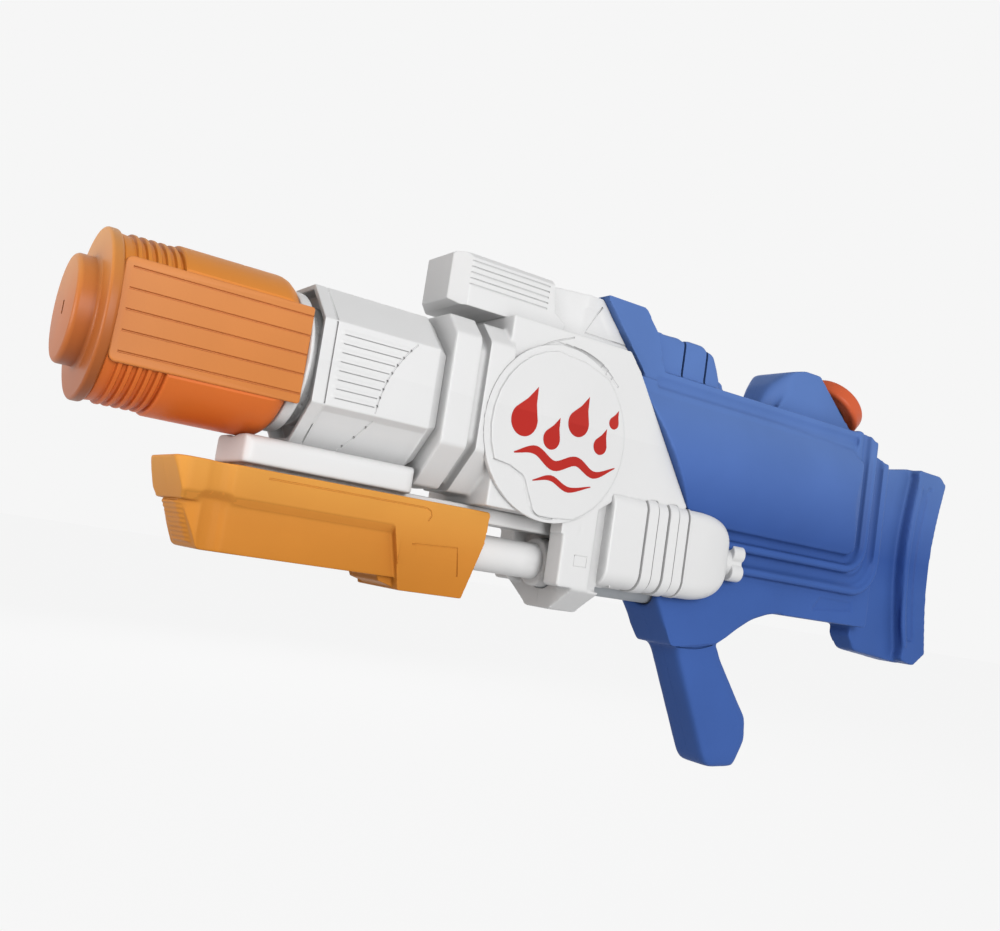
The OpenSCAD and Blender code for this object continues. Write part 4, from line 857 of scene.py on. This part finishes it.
valleys = [(deeper(-31.6, 2.8), 4.4, [(420, -46.2), (560.5, -46.2, 13), (560.5, 62)]),
           (deeper(-29.2, 2.4), 5.4, [(420, -59.3), (579.6, -59.3, 20), (579.6, 50)])]
ridges = [(-27.9, 3.2, [(426, -51.8), (569.4, -51.8, 20), (569.4, 46)]),
          (-24.9, 3.2, [(441, -66.6), (588.4, -67.2, 24), (588.4, 33)])]
for y, r, points in valleys:
    carve(rear, both(bead(rim_line(points), y, r, 20)))
for y, r, points in ridges:
    add(rear, both(bead(rim_line(points), y, r, 20)))
butt_ridge = curve([(644, 24), (641, 6), (637.8, -21), (637.3, -50), (640, -82), (645, -102)])
add(rear, both(bead(butt_ridge, -18.4, 2.3, 16)))
recess = prism("recess", [(528, -85.5), (537, -75), (571, -75), (574, -82)], -23, -20.8)
dimple = bead([(654, 24), (660, 25)], -19, 1.6)
deck_foot = bead([(350, 42.4), (551, 42.4)], -30.2, 4.6, 20)
carve(rear, both(recess), both(dimple), both(deck_foot))


# %% Skin, draw in and relax
def drawn_in(p):
    """Lower sides that lean in from under the rim to the grip."""
    depth = min(1.0, max(0.0, (-76 - p.z) / 46))
    reach = min(1.0, max(0.0, (512 - p.x) / 40))
    limit = 22.2 - 4.9 * depth * reach
    inside = p.z < -72 and p.x < 515
    return Vector((p.x, max(-limit, min(limit, p.y)), p.z)) if inside else p


def rounder(p):
    """Share of the second relaxing at a point."""
    # Grip and its base
    if p.x < 500 and p.z < -72:
        return min(1.0, (-72 - p.z) / 10)
    # Butt, and more at the front of its foot
    if p.x > 594:
        return 0.8 if p.z < -92 and p.x < 632 else 0.16
    # Knuckle humps
    if 352 < p.x < 412 and p.z > 54:
        return min(1.0, (p.z - 54) / 6)
    # Filler hump, most at its nose
    if 455 < p.x < 545 and p.z > 54:
        return 1.0 if p.x < 486 else 0.4
    # Edge of the deck
    if 26 < p.z < 46 and 350 < p.x < 550:
        return 0.5
    # Tops of the rims
    if p.z > 28 and 553 < p.x:
        return 0.4 * min(1.0, (p.z - 28) / 6)
    return 0.0


def roundest(p):
    """Share of the third relaxing, for the hump's nose and the upright edges of the grip and its base."""
    if 450 < p.x < 486 and p.z > 58:
        return min(1.0, (p.z - 58) / 8) * min(1.0, (486 - p.x) / 8)
    if p.x > 490 or p.z > -78:
        return 0.0
    step = min(1.0, max(0.0, (abs(p.z + 118) - 5) / 6))
    return step * min(1.0, (-78 - p.z) / 10) * min(1.0, (490 - p.x) / 15)


skin(rear, 0.9)
shift(rear, drawn_in)
relax(rear, 5)
relax(rear, 46, rounder)
relax(rear, 110, roundest)

# %% Lines of the knuckles and the grip
knuckles = [block((x - 0.9, -26, 50.5), (x + 0.9, -20.6, 80)) for x in (373, 393.4)]
seam = bead(curve([(402, -123.4), (413, -123.2), (425, -122.8), (436, -120.4), (447, -116.4)]), -15.6, 1.0)
carve(rear, both(*knuckles), both(seam))
dress_halves(rear, "rear_half", "rear_shell", blue, "blue_abs", "body")

# %% Filler cap
cap = soften(moulded_copy("cap_moulding", "filler_cap"), 0.4, 6)
dress(cap, red, "red_pp", "cap", "filler_cap")

# %% [markdown]
# ## Foregrip
# The rim stands proud of the lower body, and fine ribs run round the nose. A soft valley lies behind the
# nose, the side of the rear block leans in a little, and inset lines follow the rim and the block.

# %% Foregrip halves
grip = skin(moulded_copy("foregrip", "foregrip_left", "foregrip_right"), 0.45)
rim_y, low_y, bevel_z = -27.0, -22.0, -79.0
rear_block_x, rim_foot_z, lean = 186, -81.5, 0.075
valley_x, valley_r, valley_d = 82.0, 14.0, 1.9


def valley_y(p):
    """Depth of the cutter that draws the soft valley behind the nose."""
    return (rim_y if p[1] > bevel_z else low_y) - valley_r + valley_d


def rear_face(p):
    """Depth of the rear block's side, which leans in a little from the foot of the rim."""
    return rim_y + lean * max(0.0, rim_foot_z - p[1])


def leaning(p):
    """Moves a point of the rear block onto its leaning side."""
    limit = -rear_face((p.x, p.z))
    return Vector((p.x, max(-limit, min(limit, p.y)), p.z)) if p.x > rear_block_x else p


def nose_share(p):
    """Share of the relaxing that rounds the rim's nose, its top edge and the valley, and leaves the ribs."""
    if p.z > -62:
        return 1.0
    near = min(1.0, max(0.0, (99 - p.x) / 10))
    return near if p.z > -80 else near * min(1.0, max(0.0, (p.x - 72) / 6))


carve(grip, both(bead([(valley_x, z) for z in (-54, -77, -81, -114)], valley_y, valley_r, 24)))
shift(grip, leaning)
soften(grip, 0.45, 4)
relax(grip, 30, nose_share)
inset = [bead([(106, -64.2), (198.5, -64.2), (201.5, -65.6), (202.2, -68), (200.5, -71.2)], rim_y, 0.55),
         bead([(193, -85), (222, -83.5), (225, -99)], rear_face, 0.6)]
carve(grip, both(*inset))
dress_halves(grip, "foregrip_half", "foregrip", amber, "amber_abs", "pump")

# %% [markdown]
# ## Floor, backdrop and light
# The photograph has a plain pale ground with no horizon, so the floor lies well below the grip and is so
# wide that its far edge meets the backdrop in nearly the same tone. A large soft lamp stands beside the
# camera, as in a catalogue studio, and its twin lights the far side. A small lamp before the nozzle puts a
# pale sheen on its front, and a low one lifts the undersides, as light from the floor does. The lamps
# themselves stay out of the picture.

# %% Floor and world
GROUND = "#f6f6f6"
floor_share, floor_low, floor_high, floor_reach, fibre_mm = 0.04, -330, -320, 20000, 4
floor_light, floor_seen, sky_light, sky_seen = 0.3, 0.975, 0.24, 1.0


def background_rays(tree):
    """One where a ray comes from the camera or was mirrored or let through, else zero."""
    ray = put(tree, "LightPath")
    seen = put(tree, "Math", links={0: ray.outputs["Is Camera Ray"], 1: ray.outputs["Is Glossy Ray"]},
               operation="MAXIMUM")
    return put(tree, "Math", links={0: seen.outputs[0], 1: ray.outputs["Is Transmission Ray"]},
               operation="MAXIMUM").outputs[0]


paper = bpy.data.materials.new("pale_paper_floor")
paper.use_nodes = True
tree = paper.node_tree
tree.nodes.clear()
place = put(tree, "TexCoord").outputs["Object"]
grain = put(tree, "TexNoise", {"Scale": 1 / (fibre_mm * MM)}, {"Vector": place})
fibre = put(tree, "MapRange", {"To Min": floor_share * 0.97, "To Max": floor_share * 1.03},
            {"Value": grain.outputs["Fac"]})
sheet = put(tree, "BsdfDiffuse", links={"Color": fibre.outputs["Result"]})
glow = put(tree, "MapRange", {"To Min": floor_light, "To Max": floor_seen}, {"Value": background_rays(tree)})
lit = put(tree, "Emission", {"Color": linear(GROUND)}, {"Strength": glow.outputs["Result"]})
total = put(tree, "AddShader", links={0: sheet.outputs[0], 1: lit.outputs[0]})
put(tree, "OutputMaterial", links={"Surface": total.outputs[0]})
corners = [(-floor_reach, -floor_reach), (floor_reach, -floor_reach), (floor_reach, floor_reach),
           (-floor_reach, floor_reach)]
floor = prism("floor", corners, floor_low, floor_high, "Z")
floor.data.materials.append(paper)

world = bpy.data.worlds.new("studio")
scene.world = world
world.use_nodes = True
tree = world.node_tree
sky = tree.nodes["Background"]
power = put(tree, "MapRange", {"To Min": sky_light, "To Max": sky_seen}, {"Value": background_rays(tree)})
tree.links.new(power.outputs["Result"], sky.inputs["Strength"])
sky.inputs["Color"].default_value = linear(GROUND)


# %% Lamps
def softbox(name, at, size, power, aim=(330, 0, -40), glints=True):
    """Square studio lamp in millimetres and watts that faces aim; without glints it is not mirrored."""
    lamp = bpy.data.lights.new(name, "AREA")
    lamp.size = size * MM
    lamp.energy = power
    made = bpy.data.objects.new(name, lamp)
    made.location = Vector(at) * MM
    made.rotation_euler = (Vector(aim) - Vector(at)).to_track_quat("-Z", "Y").to_euler()
    made.visible_camera = False
    made.visible_glossy = glints
    scene.collection.objects.link(made)


softbox("key", (40, -1660, 230), 800, 17.6)
softbox("far_key", (620, 1500, 700), 800, 15, glints=False)
softbox("front_fill", (-290, -50, -20), 150, 0.62, (20, 0, -35))
softbox("low_fill", (150, -900, -290), 350, 1.1, (250, 0, -40))

# %% View settings
scene.view_settings.view_transform = "Standard"
